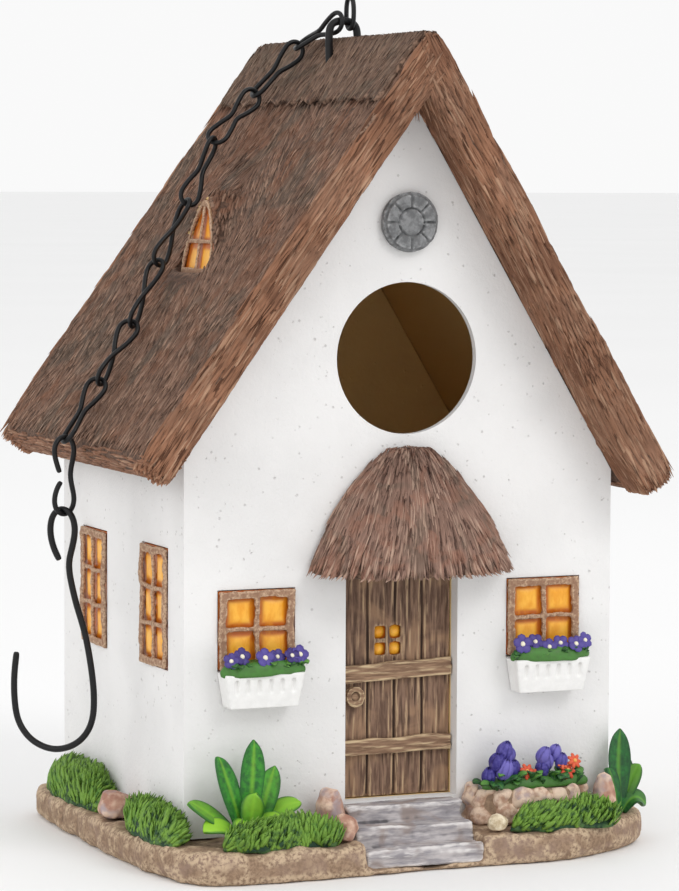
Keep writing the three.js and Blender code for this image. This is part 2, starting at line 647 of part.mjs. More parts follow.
function buildFlowerBox(side, x) {
  const top = FRONT_WINDOW.bottom - 0.5;
  const bottom = top - BOX_HEIGHT;
  const half = FRONT_WINDOW.width / 2 + 0.5;
  const body = alongX(shapeOf([
    [wallFace, bottom],
    [wallFace, top],
    [wallFace - BOX_DEPTH, top],
    [wallFace - BOX_DEPTH + 1.2, bottom],
  ]), x - half, x + half);
  const slots = [];
  for (let slot = 0; slot < BOX_SLOTS; slot += 1) {
    const middle = x + ((slot + 0.5) / BOX_SLOTS - 0.5) * (2 * half - 3);
    slots.push(boxOf(middle - 0.45, middle + 0.45, wallFace - 2 * BOX_DEPTH, wallFace - BOX_DEPTH + 1.2,
      bottom + BOX_HEIGHT * 0.42, top - 1.3));
  }
  const taper = alongY(shapeOf([
    [x - half, top],
    [x - half + 1.5, bottom],
    [x + half - 1.5, bottom],
    [x + half, top],
  ]), wallFace - 2 * BOX_DEPTH, wallFace);
  addPiece(`flower_box_${side}`, cut(body.intersect(taper), slots), "white");
  const clumps = [];
  const count = 5;
  const bedMiddle = wallFace - FRAME_PROUD - GAP - (BOX_DEPTH - FRAME_PROUD) / 2;
  for (let clump = 0; clump < count; clump += 1) {
    const dx = ((clump + 0.5) / count - 0.5) * 2 * (half - 0.5);
    clumps.push(lump(2.9, 2.7, PANSY_HEIGHT * 0.8, 11 + clump).translate([x + dx, bedMiddle, top + 1]));
  }
  const bed = boxOf(x - half - 1, x + half + 1, wallFace - BOX_DEPTH - 1.5, wallFace - FRAME_PROUD - GAP,
    top + GAP, top + PANSY_HEIGHT);
  addPiece(`pansies_${side}`, joined(clumps).intersect(bed), "pansy");
}

const PLANTER_LEFT = 17;
const PLANTER_RIGHT = halfWidth - 7.3;
const PLANTER_X = (PLANTER_LEFT + PLANTER_RIGHT) / 2;
const PLANTER_WIDTH = PLANTER_RIGHT - PLANTER_LEFT;
const PLANTER_DEPTH = 12;
const PLANTER_HEIGHT = 9;

function buildPlanter() {
  const wallShape = new THREE.Shape();
  wallShape.absellipse(PLANTER_X, wallFace, PLANTER_WIDTH / 2, PLANTER_DEPTH, Math.PI, 2 * Math.PI);
  const geometry = new THREE.ExtrudeGeometry(wallShape, {
    depth: PLANTER_HEIGHT - 1,
    bevelSize: 1,
    bevelThickness: 1,
    bevelOffset: -1,
    bevelSegments: 1,
    curveSegments: 16,
  });
  geometry.translate(0, 0, gardenFloor);
  addPiece("stone_planter", inGarden(toSolid(geometry)), "stone");
  const top = gardenFloor + PLANTER_HEIGHT;
  const heads = [[-9, 7], [-3, 4], [3, 7.5], [9, 3.5]];
  const bed = lump(PLANTER_WIDTH * 0.42, 4.2, 3.2, 5).translate([PLANTER_X, wallFace - 5.4, top + 0.8]);
  const blooms = heads.map(([dx, rise], index) =>
    lump(3.4, 3, 5, 31 + index).translate([PLANTER_X + dx, wallFace - 5.2, top + rise]));
  const above = boxOf(0, 2 * halfWidth, -2 * halfDepth, wallFace - 0.1, top + GAP, APEX_Z);
  addPiece("planter_flowers", joined([bed, ...blooms]).intersect(above), "bloom");
}

// A tuft along the front edge of the ground, from one place to another.
function buildFrontTuft(name, from, to, y, ry, height, blades, seed) {
  buildTuft(name, (from + to) / 2, y, (to - from) / 2, ry, height, blades, seed);
}

function buildGarden() {
  const front = -halfDepth;
  buildPlant("hosta", -halfWidth + 12.8, front - 9.2, [
    [25, 8, 4, 200], [21, 8, 28, 185], [20, 8, 42, 178], [19, 8, 40, 5],
    [17, 7.5, 55, 2], [17, 8, 60, 182], [14, 7, 70, 190],
  ], 0.7, "leaf");
  buildPlant("corner_plant", halfWidth + 3.2, front - 4.3, [
    [21, 6, 6, 20], [17, 6, 26, 60], [15, 6, 30, 170], [12, 5, 45, 120],
  ], 0.8, "leaf");
  buildFrontTuft("grass_front_left", -halfWidth + 3.7, -25.4, front - 16.8, 3.4, 8.5, 9, 3);
  buildFrontTuft("grass_front_right", 22.5, halfWidth - 6.8, front - 16.4, 2.6, 7, 8, 13);
  buildTuft("grass_left_front", -halfWidth - 4.7, -0.391 * HOUSE_DEPTH, 4.2, 0.185 * HOUSE_DEPTH, 10, 9, 5);
  buildTuft("grass_left_rear", -halfWidth - 4.9, 0.239 * HOUSE_DEPTH, 4.4, 0.228 * HOUSE_DEPTH, 13, 10, 9);
  buildTuft("grass_right", halfWidth + 4.7, 0.043 * HOUSE_DEPTH, 3.8, 0.283 * HOUSE_DEPTH, 8, 11, 17);
  buildRock("rock_left", -halfWidth - 5.2, -0.114 * HOUSE_DEPTH, 4.6, 5.2, 7, 2);
  buildRock("rock_step_upper", -22, front - 6, 4, 4.4, 12, 4);
  buildRock("rock_step_lower", -21.6, front - 14.4, 3.4, 3.4, 6.5, 6);
  buildRock("rock_right", halfWidth - 4.7, front - 7.4, 3.2, 4.2, 11, 8);
  buildRock("pebble", 19.2, front - 16.2, 2.9, 2.8, 4.2, 10, "pebble");
}

// ---- chain, eye and S-hook ---------------------------------------------------------------------------

const slopeNormal = new THREE.Vector3(outLeft.x, 0, outLeft.y);

// Where the chain lies: down the slope, along Y, and up from the thatch.
const CHAIN_PATH = [
  [-5.6, 9.7, 4.6], [12.1, 7.8, 7.3], [29.4, 4.2, 10.8], [47, 1.9, 7.9],
  [64.7, -1.2, 6.3], [82.1, -5.1, 4.1], [99.5, -9.5, 4.1], [117.1, -13.5, 4.1],
];
// The turn of each link's upper and lower loop about its length; 0 lies flat on the thatch.
const CHAIN_TURNS = [[147, 195], [85, 175], [90, 135], [45, 90], [0, 67], [-23, 45], [-45, 45], [-45, 0]];

const capTop = ridgeAt(THATCH + CAP_PROUD).y - CAP_ROUND * (Math.sin(LEFT_PITCH) + Math.sin(RIGHT_PITCH)) / 4;
const eyeHeight = capTop + EYE_CLEAR;
const eyePoint = new THREE.Vector3(-1.5, EYE_Y, eyeHeight);

// The chain is laid out on a slope this long, and stretches with the roof so that it still clears the eave.
const chainStretch = leftSlope / CHAIN_SLOPE;
const linkPitch = LINK_PITCH * chainStretch;

function onSlope([along, y, height]) {
  const point = leftPoint(along * chainStretch, THATCH + height);
  return new THREE.Vector3(point.x, y, point.y);
}

// Sets each joint one pitch from the last, in the direction of the next place on the path.
// A joint is the point midway between the two wires that hook there.
function chainJoints() {
  const first = onSlope(CHAIN_PATH[0]).sub(eyePoint).setLength((EYE_WIRE + WIRE_GAP) / 2);
  const joints = [eyePoint.clone().sub(first)];
  for (const place of CHAIN_PATH) {
    const last = joints[joints.length - 1];
    const step = onSlope(place).sub(last).setLength(linkPitch);
    joints.push(last.clone().add(step));
  }
  const last = joints[joints.length - 1];
  joints.push(last.clone().add(new THREE.Vector3(-0.9, 0, -linkPitch)));
  return joints;
}

const joints = chainJoints();

// The direction of a link; the chain starts in the first link's own direction.
function directionOf(link) {
  const index = Math.max(link, 0);
  return joints[index + 1].clone().sub(joints[index]).normalize();
}

// A wire along a closed or open path.
function wireSolid(points, wire, closed, steps) {
  const path = new THREE.CatmullRomCurve3(points, closed, "centripetal");
  if (closed) return toSolid(new THREE.TubeGeometry(path, steps, wire / 2, 6, true));
  const section = new THREE.Shape();
  section.absarc(0, 0, wire / 2, 0, 2 * Math.PI);
  const settings = { steps, extrudePath: path, curveSegments: 4, bevelEnabled: false };
  return toSolid(new THREE.ExtrudeGeometry(section, settings));
}

// The middle line of a figure-eight link: two round loops and a waist, the loops turned against each other.
function linkPoints(index, turns, radius) {
  const reach = (WIRE + WIRE_GAP) / 2;
  const start = joints[index].clone().addScaledVector(directionOf(index - 1), -reach);
  const end = joints[index + 1].clone().addScaledVector(directionOf(index), reach);
  const along = end.clone().sub(start).normalize();
  const across = new THREE.Vector3().crossVectors(slopeNormal, along).normalize();
  const out = new THREE.Vector3().crossVectors(along, across);
  const middle = start.clone().add(end).multiplyScalar(0.5);
  const half = start.distanceTo(end) / 2;
  const waist = WIRE / 2 + 0.25;
  const quarter = [];
  for (const degrees of [0, 35, 70, 100]) {
    const angle = THREE.MathUtils.degToRad(degrees);
    quarter.push([half - radius + radius * Math.cos(angle), radius * Math.sin(angle)]);
  }
  quarter.push([(half - radius) * 0.42, (radius + waist) / 2]);
  const lower = [...quarter, [0, waist], ...quarter.map(([s, w]) => [-s, w]).reverse()];
  const around = [...lower, ...lower.slice(1, -1).map(([s, w]) => [s, -w]).reverse()];
  const flat = half - 2 * radius;
  return around.map(([s, w]) => {
    const share = THREE.MathUtils.smoothstep(s, -flat, flat);
    const turn = THREE.MathUtils.degToRad(THREE.MathUtils.lerp(turns[0], turns[1], share));
    const side = across.clone().multiplyScalar(Math.cos(turn)).addScaledVector(out, Math.sin(turn));
    return middle.clone().addScaledVector(along, s).addScaledVector(side, w);
  });
}

function buildChain() {
  CHAIN_TURNS.forEach((turns, index) => {
    const points = linkPoints(index, turns, LINK_RADIUS);
    addPiece(`chain_link_${index + 1}`, wireSolid(points, WIRE, true, 34), "steel");
  });
}

// The last link is left open: the two ends of its wire stop short of each other.
const HANGING_TURN = THREE.MathUtils.degToRad(25);
const HOOK_TURN = THREE.MathUtils.degToRad(-45);

function uprightFrame(turn) {
  return new THREE.Vector3(Math.cos(turn), Math.sin(turn), 0);
}

function buildHangingLink() {
  const [top, bottom] = joints.slice(-2);
  const side = uprightFrame(HANGING_TURN);
  const radius = HANGING_LINK_RADIUS;
  const half = top.distanceTo(bottom) / 2 + (WIRE + WIRE_GAP) / 2;
  const middle = top.clone().add(bottom).multiplyScalar(0.5);
  const round = half - radius;
  const outline = [
    [-1.6, 0.9], [-2.5, 3], [-radius, round], [-radius * 0.7, round + radius * 0.72], [0, half],
    [radius * 0.7, round + radius * 0.72], [radius, round], [radius * 0.62, 0], [radius, -round],
    [radius * 0.7, -round - radius * 0.72], [0, -half], [-radius * 0.7, -round - radius * 0.72], [-radius, -round],
    [-2.5, -3.2], [-1.2, -1.6],
  ];
  const points = outline.map(([w, z]) =>
    middle.clone().addScaledVector(side, w).add(new THREE.Vector3(0, 0, z)));
  addPiece("chain_link_9", wireSolid(points, WIRE, false, 30), "steel");
}

function buildHook() {
  const top = joints[joints.length - 1];
  const side = uprightFrame(HOOK_TURN);
  const start = (HOOK_WIRE + WIRE_GAP) / 2;
  const loop = HOOK_LOOP;
  const bowl = HOOK_BOWL;
  const low = start - HOOK_LENGTH + bowl;
  const outline = [
    [-0.9, start - 13.2], [-loop * 0.75, start - 10], [-loop, start - 5.4], [-loop * 0.7, start - 1.4], [0, start],
    [loop * 0.7, start - 1.4], [loop, start - 5.4], [loop * 0.8, start - 9.5], [1.7, start - 14],
    [3.2, start - 22], [6.6, start - 33], [bowl - 2.4, low + 2],
  ];
  for (const degrees of [-25, -55, -90, -125, -155, -180]) {
    const angle = THREE.MathUtils.degToRad(degrees);
    outline.push([-2.4 + bowl * Math.cos(angle), low + bowl * Math.sin(angle)]);
  }
  outline.push([-2.6 - bowl, low + 6.5], [-1.9 - bowl, low + 13]);
  const points = outline.map(([w, z]) =>
    top.clone().addScaledVector(side, w).add(new THREE.Vector3(0, 0, z)));
  addPiece("s_hook", wireSolid(points, HOOK_WIRE, false, 46), "steel");
}

function buildEye() {
  const half = EYE_WIDTH / 2;
  const corner = 2.2;
  const outline = [
    [-half, eyeFoot], [-half, eyeHeight - corner], [-half + corner * 0.3, eyeHeight - corner * 0.3],
    [-half + corner, eyeHeight], [half - corner, eyeHeight], [half - corner * 0.3, eyeHeight - corner * 0.3],
    [half, eyeHeight - corner], [half, eyeFoot],
  ];
  const points = outline.map(([x, z]) => new THREE.Vector3(x, EYE_Y, z));
  return wireSolid(points, EYE_WIRE, false, 22);
}

// A short link that stands on the eye beside the chain.
const END_LINK_X = 1.9;
const END_LINK_LENGTH = 9.4;
const END_LINK_RADIUS = 2.3;

function buildEndLink() {
  const drop = (EYE_WIRE + WIRE) / 2 + WIRE_GAP;
  const radius = END_LINK_RADIUS;
  const low = eyeHeight - drop;
  const high = low + END_LINK_LENGTH - WIRE;
  const points = [];
  for (const [middle, from] of [[high - radius, 0], [low + radius, 180]]) {
    for (const degrees of [0, 45, 90, 135, 180]) {
      const angle = THREE.MathUtils.degToRad(from + degrees);
      const y = EYE_Y + radius * Math.cos(angle);
      points.push(new THREE.Vector3(END_LINK_X, y, middle + radius * Math.sin(angle)));
    }
  }
  addPiece("end_link", wireSolid(points, WIRE, true, 26), "steel");
}

// ---- assembly --------------------------------------------------------------------------------------------

buildWalls(buildWindows());
buildGround();
buildPlug();
buildDoor();
buildSteps();
buildRoof();
buildDormer();
buildCanopy();
buildRosette();
buildFlowerBox("left", -FRONT_WINDOW_X);
buildFlowerBox("right", FRONT_WINDOW_X);
buildPlanter();
buildGarden();
addPiece("hanging_eye", buildEye(), "steel");
buildEndLink();
buildChain();
buildHangingLink();
buildHook();

export default birdhouse;
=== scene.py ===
"""A hanging birdhouse in the shape of a thatched cottage, cast in resin and painted by hand.

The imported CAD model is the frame. Each visible CAD node gets a finer casting in its place, made from a copy of its
own shape where that shape is right. Sizes in the maker's numbers are millimetres, and Blender's meshes are metres.
"""
import itertools
import json
import math

import bmesh
import bpy
import numpy as np
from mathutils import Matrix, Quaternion, Vector


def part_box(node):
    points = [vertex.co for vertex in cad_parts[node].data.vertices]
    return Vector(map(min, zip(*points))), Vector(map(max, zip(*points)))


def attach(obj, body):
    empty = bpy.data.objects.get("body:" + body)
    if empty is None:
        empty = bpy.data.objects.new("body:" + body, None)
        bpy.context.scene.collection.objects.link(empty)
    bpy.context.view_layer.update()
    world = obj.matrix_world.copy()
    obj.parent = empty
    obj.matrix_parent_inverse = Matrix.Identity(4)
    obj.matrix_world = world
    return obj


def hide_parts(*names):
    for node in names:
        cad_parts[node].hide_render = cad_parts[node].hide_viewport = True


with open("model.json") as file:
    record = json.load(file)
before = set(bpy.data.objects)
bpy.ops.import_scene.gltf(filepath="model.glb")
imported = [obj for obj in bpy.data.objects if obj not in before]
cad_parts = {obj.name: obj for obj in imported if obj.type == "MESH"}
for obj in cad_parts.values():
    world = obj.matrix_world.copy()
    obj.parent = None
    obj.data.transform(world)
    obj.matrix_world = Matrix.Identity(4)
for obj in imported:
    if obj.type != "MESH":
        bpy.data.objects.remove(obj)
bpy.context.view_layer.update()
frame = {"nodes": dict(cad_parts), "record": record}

MM = 0.001
RECORD = frame["record"]
BODY_OF = {node: body for body, nodes in RECORD["behaviour"]["bodies"].items() for node in nodes}

LEFT_PITCH = math.radians(54.2)
RIGHT_PITCH = math.radians(59.1)
RIDGE_X = 1.4
WALL = 4.0

MERGE_DISTANCE = 2e-6
KEPT_SHARE = 0.35
GABLE_DEPTH = 2.2
LEAF_THICKNESS = 1.5
RIB_DEPTH = 0.12
PITS_PER_METRE = 650.0

DOWN_LEFT = np.array([-math.cos(LEFT_PITCH), 0, -math.sin(LEFT_PITCH)])
DOWN_RIGHT = np.array([math.cos(RIGHT_PITCH), 0, -math.sin(RIGHT_PITCH)])
OUT_LEFT = np.array([-math.sin(LEFT_PITCH), 0, math.cos(LEFT_PITCH)])
OUT_RIGHT = np.array([math.sin(RIGHT_PITCH), 0, math.cos(RIGHT_PITCH)])


def box_mm(node):
    low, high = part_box(node)
    return np.array(low) / MM, np.array(high) / MM


# ---- unevenness and meshes ------------------------------------------------------------------


def cell_value(cell, seed):
    """A steady number between -1 and 1 for each cell of a grid."""
    mixed = cell[:, 0] * 73856093 ^ cell[:, 1] * 19349663 ^ cell[:, 2] * 83492791 ^ np.int64(seed * 7919 + 17)
    mixed = (mixed ^ (mixed >> 13)) * 1274126177
    mixed = mixed ^ (mixed >> 16)
    return (mixed & 0xFFFFFF) / 0x7FFFFF - 1


def uneven(places, size, seed=0):
    """Smooth noise between -1 and 1 that changes over the given size, which may differ along X, Y and Z."""
    scaled = places / np.asarray(size, float)
    cell = np.floor(scaled).astype(np.int64)
    part = scaled - cell
    part = part * part * (3 - 2 * part)
    total = np.zeros(len(places))
    for corner in itertools.product((0, 1), repeat=3):
        weight = np.prod(np.where(corner, part, 1 - part), axis=1)
        total += weight * cell_value(cell + np.array(corner), seed)
    return total


def ramp(value, low, high):
    part = np.clip((value - low) / (high - low), 0, 1)
    return part * part * (3 - 2 * part)


def places_of(mesh):
    flat = np.empty(len(mesh.vertices) * 3)
    mesh.vertices.foreach_get("co", flat)
    return flat.reshape(-1, 3) / MM


def normals_of(mesh):
    flat = np.empty(len(mesh.vertices) * 3)
    mesh.vertices.foreach_get("normal", flat)
    return flat.reshape(-1, 3)


def move_to(mesh, places):
    mesh.vertices.foreach_set("co", (places * MM).ravel())
    mesh.update()


def store(mesh, name, values, kind="FLOAT"):
    attribute = mesh.attributes.get(name) or mesh.attributes.new(name, kind, "POINT")
    attribute.data.foreach_set("vector" if kind == "FLOAT_VECTOR" else "value", np.asarray(values, float).ravel())


def smooth_all(mesh):
    mesh.polygons.foreach_set("use_smooth", [True] * len(mesh.polygons))


def new_piece(name, mesh):
    piece = bpy.data.objects.new(name, mesh)
    bpy.context.scene.collection.objects.link(piece)
    return piece


def freeze(piece):
    """Applies a piece's modifiers."""
    bpy.context.view_layer.update()
    depsgraph = bpy.context.evaluated_depsgraph_get()
    mesh = bpy.data.meshes.new_from_object(piece.evaluated_get(depsgraph), depsgraph=depsgraph)
    piece.modifiers.clear()
    piece.data = mesh
    return piece


def merged_copy(name, node):
    """A copy of a CAD node as one closed skin of whole faces."""
    mesh = bpy.data.meshes.new(name)
    skin = bmesh.new()
    skin.from_mesh(frame["nodes"][node].data)
    bmesh.ops.remove_doubles(skin, verts=skin.verts, dist=MERGE_DISTANCE)
    skin.to_mesh(mesh)
    skin.free()
    return new_piece(name, mesh)


def fine_copy(name, node, net):
    """A copy of a CAD node whose skin is an even net of small faces."""
    piece = merged_copy(name, node)
    remesh = piece.modifiers.new("net", "REMESH")
    remesh.mode = "VOXEL"
    remesh.voxel_size = net * MM
    return freeze(piece)


def averaged(mesh, places, rounds):
    """The places after each has moved towards its neighbours, round after round."""
    pairs = np.empty(len(mesh.edges) * 2, np.int64)
    mesh.edges.foreach_get("vertices", pairs)
    first, second = pairs.reshape(-1, 2).T
    count = np.bincount(pairs, minlength=len(places))[:, None]
    for _ in range(rounds):
        total = np.zeros_like(places)
        for axis in range(3):
            total[:, axis] = np.bincount(first, places[second, axis], len(places)) + np.bincount(
                second, places[first, axis], len(places))
        places = KEPT_SHARE * places + (1 - KEPT_SHARE) * total / count
    return places


def evened_copy(name, node, net, rounds):
    """A fine copy with its mesh, its averaged places, which it hasn't been moved to, and its outward directions."""
    piece = fine_copy(name, node, net)
    places = averaged(piece.data, places_of(piece.data), rounds)
    return piece, piece.data, places, normals_of(piece.data)


def store_relief(piece, rounds, depth):
    """Stores how far each point stands out of its surroundings: 0 in a crevice, 0.5 on the flat, 1 on an edge."""
    mesh = piece.data
    places = places_of(mesh)
    out = np.einsum("ij,ij->i", places - averaged(mesh, places, rounds), normals_of(mesh))
    store(mesh, "relief", np.clip(0.5 + 0.5 * out / depth, 0, 1))


def finish_piece(piece, material, node, replaces=True, rounds=6, depth=0.25):
    """Shades a piece smoothly, paints it and mounts it on the body of its CAD node."""
    smooth_all(piece.data)
    if depth:
        store_relief(piece, rounds, depth)
    piece.data.materials.clear()
    piece.data.materials.append(material)
    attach(piece, BODY_OF[node])
    if replaces:
        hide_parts(node)
    return piece


# ---- materials ------------------------------------------------------------------------------


def paint(red, green, blue):
    """A paint colour, given in the usual 0 to 255, as Blender's linear colour."""
    def linear(value):
        share = value / 255
        return share / 12.92 if share <= 0.04045 else ((share + 0.055) / 1.055) ** 2.4
    return (linear(red), linear(green), linear(blue), 1)


def tree_node(tree, kind, inputs=None, **settings):
    """Adds a node to a tree. Each input is a value or another node's output."""
    made = tree.nodes.new(kind)
    for key, value in settings.items():
        setattr(made, key, value)
    for socket, value in (inputs or {}).items():
        if isinstance(value, bpy.types.NodeSocket):
            tree.links.new(value, made.inputs[socket])
        else:
            made.inputs[socket].default_value = value
    return made


class Recipe:
    """Builds one material's nodes."""

    def __init__(self, name, roughness, specular=0.4, metallic=0.0):
        self.material = bpy.data.materials.new(name)
        self.material.use_nodes = True
        self.tree = self.material.node_tree
        self.shader = self.tree.nodes["Principled BSDF"]
        self.shader.inputs["Roughness"].default_value = roughness
        self.shader.inputs["Specular IOR Level"].default_value = specular
        self.shader.inputs["Metallic"].default_value = metallic
        self.places = self.node("ShaderNodeTexCoord").outputs["Object"]

    def node(self, kind, inputs=None, **settings):
        return tree_node(self.tree, kind, inputs, **settings)

    def noise(self, size, detail=3.0, roughness=0.55, stretch=(1, 1, 1), distortion=0.0):
        """Noise whose features are about size millimetres across, longer along an axis with a larger stretch."""
        mapped = self.node("ShaderNodeMapping", {
            "Vector": self.places, "Scale": [1 / (size * MM * longer) for longer in stretch]})
        return self.node("ShaderNodeTexNoise", {
            "Vector": mapped.outputs[0], "Scale": 1.0, "Detail": detail, "Roughness": roughness,
            "Distortion": distortion}).outputs["Fac"]

    def attribute(self, name):
        return self.node("ShaderNodeAttribute", attribute_name=name).outputs["Fac"]

    def spread(self, value, low, high, start=0.0, end=1.0):
        """Carries low..high to start..end and holds the ends."""
        return self.node("ShaderNodeMapRange", {
            0: value, 1: low, 2: high, 3: start, 4: end}, interpolation_type="SMOOTHSTEP").outputs[0]

    def math(self, operation, first, second=0.0):
        return self.node("ShaderNodeMath", {0: first, 1: second}, operation=operation).outputs[0]

    def blend(self, share, first, second):
        """Mixes two colours; a share of 0 gives the first."""
        return self.node("ShaderNodeMix", {0: share, 6: first, 7: second}, data_type="RGBA").outputs[2]

    def bump(self, height, strength, distance):
        made = self.node("ShaderNodeBump", {"Height": height, "Strength": strength, "Distance": distance * MM})
        if self.shader.inputs["Normal"].is_linked:
            self.tree.links.new(self.shader.inputs["Normal"].links[0].from_socket, made.inputs["Normal"])
        self.tree.links.new(made.outputs[0], self.shader.inputs["Normal"])

    def colour(self, value):
        self.tree.links.new(value, self.shader.inputs["Base Color"])
        return self.material

    def matt(self, value, low, high):
        """Lets the roughness wander between low and high."""
        self.tree.links.new(self.spread(value, 0.3, 0.7, low, high), self.shader.inputs["Roughness"])


def washed_with_shade_and_highlight(name, dark, middle, light, size, stretch=(1, 1, 1), roughness=0.8, bump=0.5, patch=None, patch_size=18,
           crevice=(0.2, 0.5), edge=(0.55, 0.9), tinted=False, specular=0.3, inside=None):
    """Cast resin with a base coat, a dark wash and painted shade in the crevices, and a pale dry brushing and painted
    highlights on the edges.
    """
    recipe = Recipe(name, roughness, specular)
    dark, middle, light = (paint(*tone) for tone in (dark, middle, light))
    fine = recipe.noise(size, 4.0, 0.6, stretch)
    base = recipe.blend(recipe.spread(fine, 0.35, 0.68), dark, middle)
    if patch:
        broad = recipe.noise(patch_size, 3.0, 0.5, distortion=0.6)
        base = recipe.blend(recipe.spread(broad, 0.46, 0.66, 0.0, 0.85), base, paint(*patch))
    if tinted:
        tint = recipe.attribute("tint")
        base = recipe.blend(recipe.spread(tint, 0.55, 1.0, 0.0, 0.8), base, light)
        base = recipe.blend(recipe.spread(tint, 0.35, 0.0, 0.0, 0.8), base, dark)
    relief = recipe.attribute("relief")
    # Raised edges lightened: a pale dry brushing together with a painted highlight.
    dry_brush_and_highlight = recipe.math("MULTIPLY", recipe.spread(relief, *edge), recipe.spread(fine, 0.35, 0.6))
    base = recipe.blend(dry_brush_and_highlight, base, light)
    # Crevices darkened towards near-black: a dark wash together with painted shade.
    deep = [channel * 0.35 for channel in dark[:3]] + [1]
    base = recipe.blend(recipe.spread(relief, *crevice, 1.0, 0.0), base, deep)
    if inside:
        base = recipe.blend(recipe.attribute("inside"), base, paint(*inside))
    recipe.bump(recipe.noise(size * 0.5, 3.0, 0.6, stretch), bump, 0.12)
    recipe.matt(fine, roughness - 0.08, min(roughness + 0.1, 1))
    return recipe.colour(base)


def strand_paint(name, dark, middle, light, patches):
    """Combed thatch: each strand has its own tone, over broad patches of weathering, with painted shade at each
    strand's root and in the hollows between strands.
    """
    recipe = Recipe(name, 0.82, 0.25)
    dark, middle, light = (paint(*tone) for tone in (dark, middle, light))
    tint = recipe.attribute("tint")
    base = recipe.blend(recipe.spread(tint, 0.0, 0.45), dark, middle)
    for number, (colour, size, share) in enumerate(patches):
        broad = recipe.noise(size, 2.0 + number, 0.5, distortion=0.8)
        base = recipe.blend(recipe.spread(broad, 0.5, 0.62, 0.0, share), base, paint(*colour))
    base = recipe.blend(recipe.spread(tint, 0.8, 1.0, 0.0, 0.65), base, light)
    # Painted shade: strands darken towards their roots and in the hollows between them.
    deep = [channel * 0.3 for channel in dark[:3]] + [1]
    base = recipe.blend(recipe.spread(recipe.attribute("span"), -0.1, 0.45, 0.45, 0.0), base, deep)
    base = recipe.blend(recipe.spread(recipe.attribute("relief"), 0.3, 0.55, 0.5, 0.0), base, deep)
    recipe.bump(recipe.noise(0.5, 2.0), 0.3, 0.08)
    recipe.matt(recipe.noise(3, 2.0), 0.72, 0.9)
    return recipe.colour(base)


def stucco_paint():
    """White pitted stucco outside, and the bare brown casting inside the house."""
    recipe = Recipe("stucco_white", 0.82, 0.25)
    closer = recipe.node("ShaderNodeMapping", {"Vector": recipe.places, "Scale": [PITS_PER_METRE] * 3})
    pits = recipe.node("ShaderNodeTexVoronoi", {
        "Vector": closer.outputs[0], "Scale": 1.0, "Randomness": 1.0}).outputs["Distance"]
    rare = recipe.spread(recipe.noise(2.4, 2.0), 0.56, 0.66)
    pit = recipe.math("MULTIPLY", recipe.spread(pits, 0.30, 0.12), rare)
    cloud = recipe.noise(26, 3.0, 0.5)
    white = recipe.blend(recipe.spread(cloud, 0.35, 0.65), paint(236, 235, 234), paint(229, 228, 227))
    # The bumped pits are painted grey as painted shade inside them.
    white = recipe.blend(recipe.math("MULTIPLY", pit, 0.55), white, paint(176, 172, 170))
    bare = recipe.blend(recipe.noise(9, 4.0), paint(246, 210, 144), paint(252, 222, 160))
    across, back, _ = recipe.node("ShaderNodeSeparateXYZ", {0: recipe.places}).outputs
    _, high = box_mm("house_walls")
    half = (high[0] - WALL + 0.2) * MM
    deep = (high[1] - WALL + 0.2) * MM
    indoors = recipe.math("MULTIPLY", recipe.math("LESS_THAN", recipe.math("ABSOLUTE", across), half),
                          recipe.math("LESS_THAN", recipe.math("ABSOLUTE", back), deep))
    recipe.bump(recipe.noise(1.3, 5.0, 0.65), 0.5, 0.3)
    recipe.bump(recipe.noise(11, 2.0, 0.5), 0.25, 0.8)
    recipe.bump(recipe.math("SUBTRACT", 1.0, pit), 0.6, 0.25)
    return recipe.colour(recipe.blend(indoors, white, bare))


def amber_paint():
    """Yellow panes, shaded to orange round the bars."""
    recipe = Recipe("amber_pane", 0.34, 0.5)
    shade = recipe.attribute("shade")
    streak = recipe.noise(2.2, 3.0, 0.6, (1, 1, 2.4))
    glow = recipe.blend(recipe.spread(streak, 0.35, 0.65), paint(238, 160, 34), paint(250, 184, 60))
    rim = recipe.math("MULTIPLY", recipe.spread(shade, 0.75, 0.1), recipe.spread(streak, 0.2, 0.55, 0.45, 1.0))
    recipe.bump(recipe.noise(1.6, 2.0), 0.3, 0.15)
    return recipe.colour(recipe.blend(rim, glow, paint(190, 96, 14)))


def leaf_paint(name, dark, middle, light):
    """A painted leaf: pale along the rib and, on some leaves, towards the tip, dark at the rim, with painted shade in
    the folds.
    """
    recipe = Recipe(name, 0.5, 0.45)
    dark, middle, light = (paint(*tone) for tone in (dark, middle, light))
    across = recipe.attribute("across")
    span = recipe.attribute("span")
    tint = recipe.attribute("tint")
    fine = recipe.noise(1.4, 3.0, 0.6)
    base = recipe.blend(recipe.spread(fine, 0.3, 0.7), dark, middle)
    pale = recipe.math("MULTIPLY", recipe.spread(tint, 0.3, 1.0), recipe.spread(span, 0.0, 0.7))
    base = recipe.blend(pale, base, light)
    base = recipe.blend(recipe.math("MULTIPLY", recipe.spread(across, 0.3, 0.0), 0.4), base, light)
    base = recipe.blend(recipe.spread(across, 0.6, 1.0, 0.0, 0.85), base, dark)
    # Painted shade in the folds of the leaf.
    base = recipe.blend(recipe.spread(recipe.attribute("relief"), 0.42, 0.15, 0.0, 0.85), base,
                        [channel * 0.4 for channel in dark[:3]] + [1])
    recipe.bump(fine, 0.4, 0.15)
    recipe.matt(fine, 0.42, 0.6)
    return recipe.colour(base)


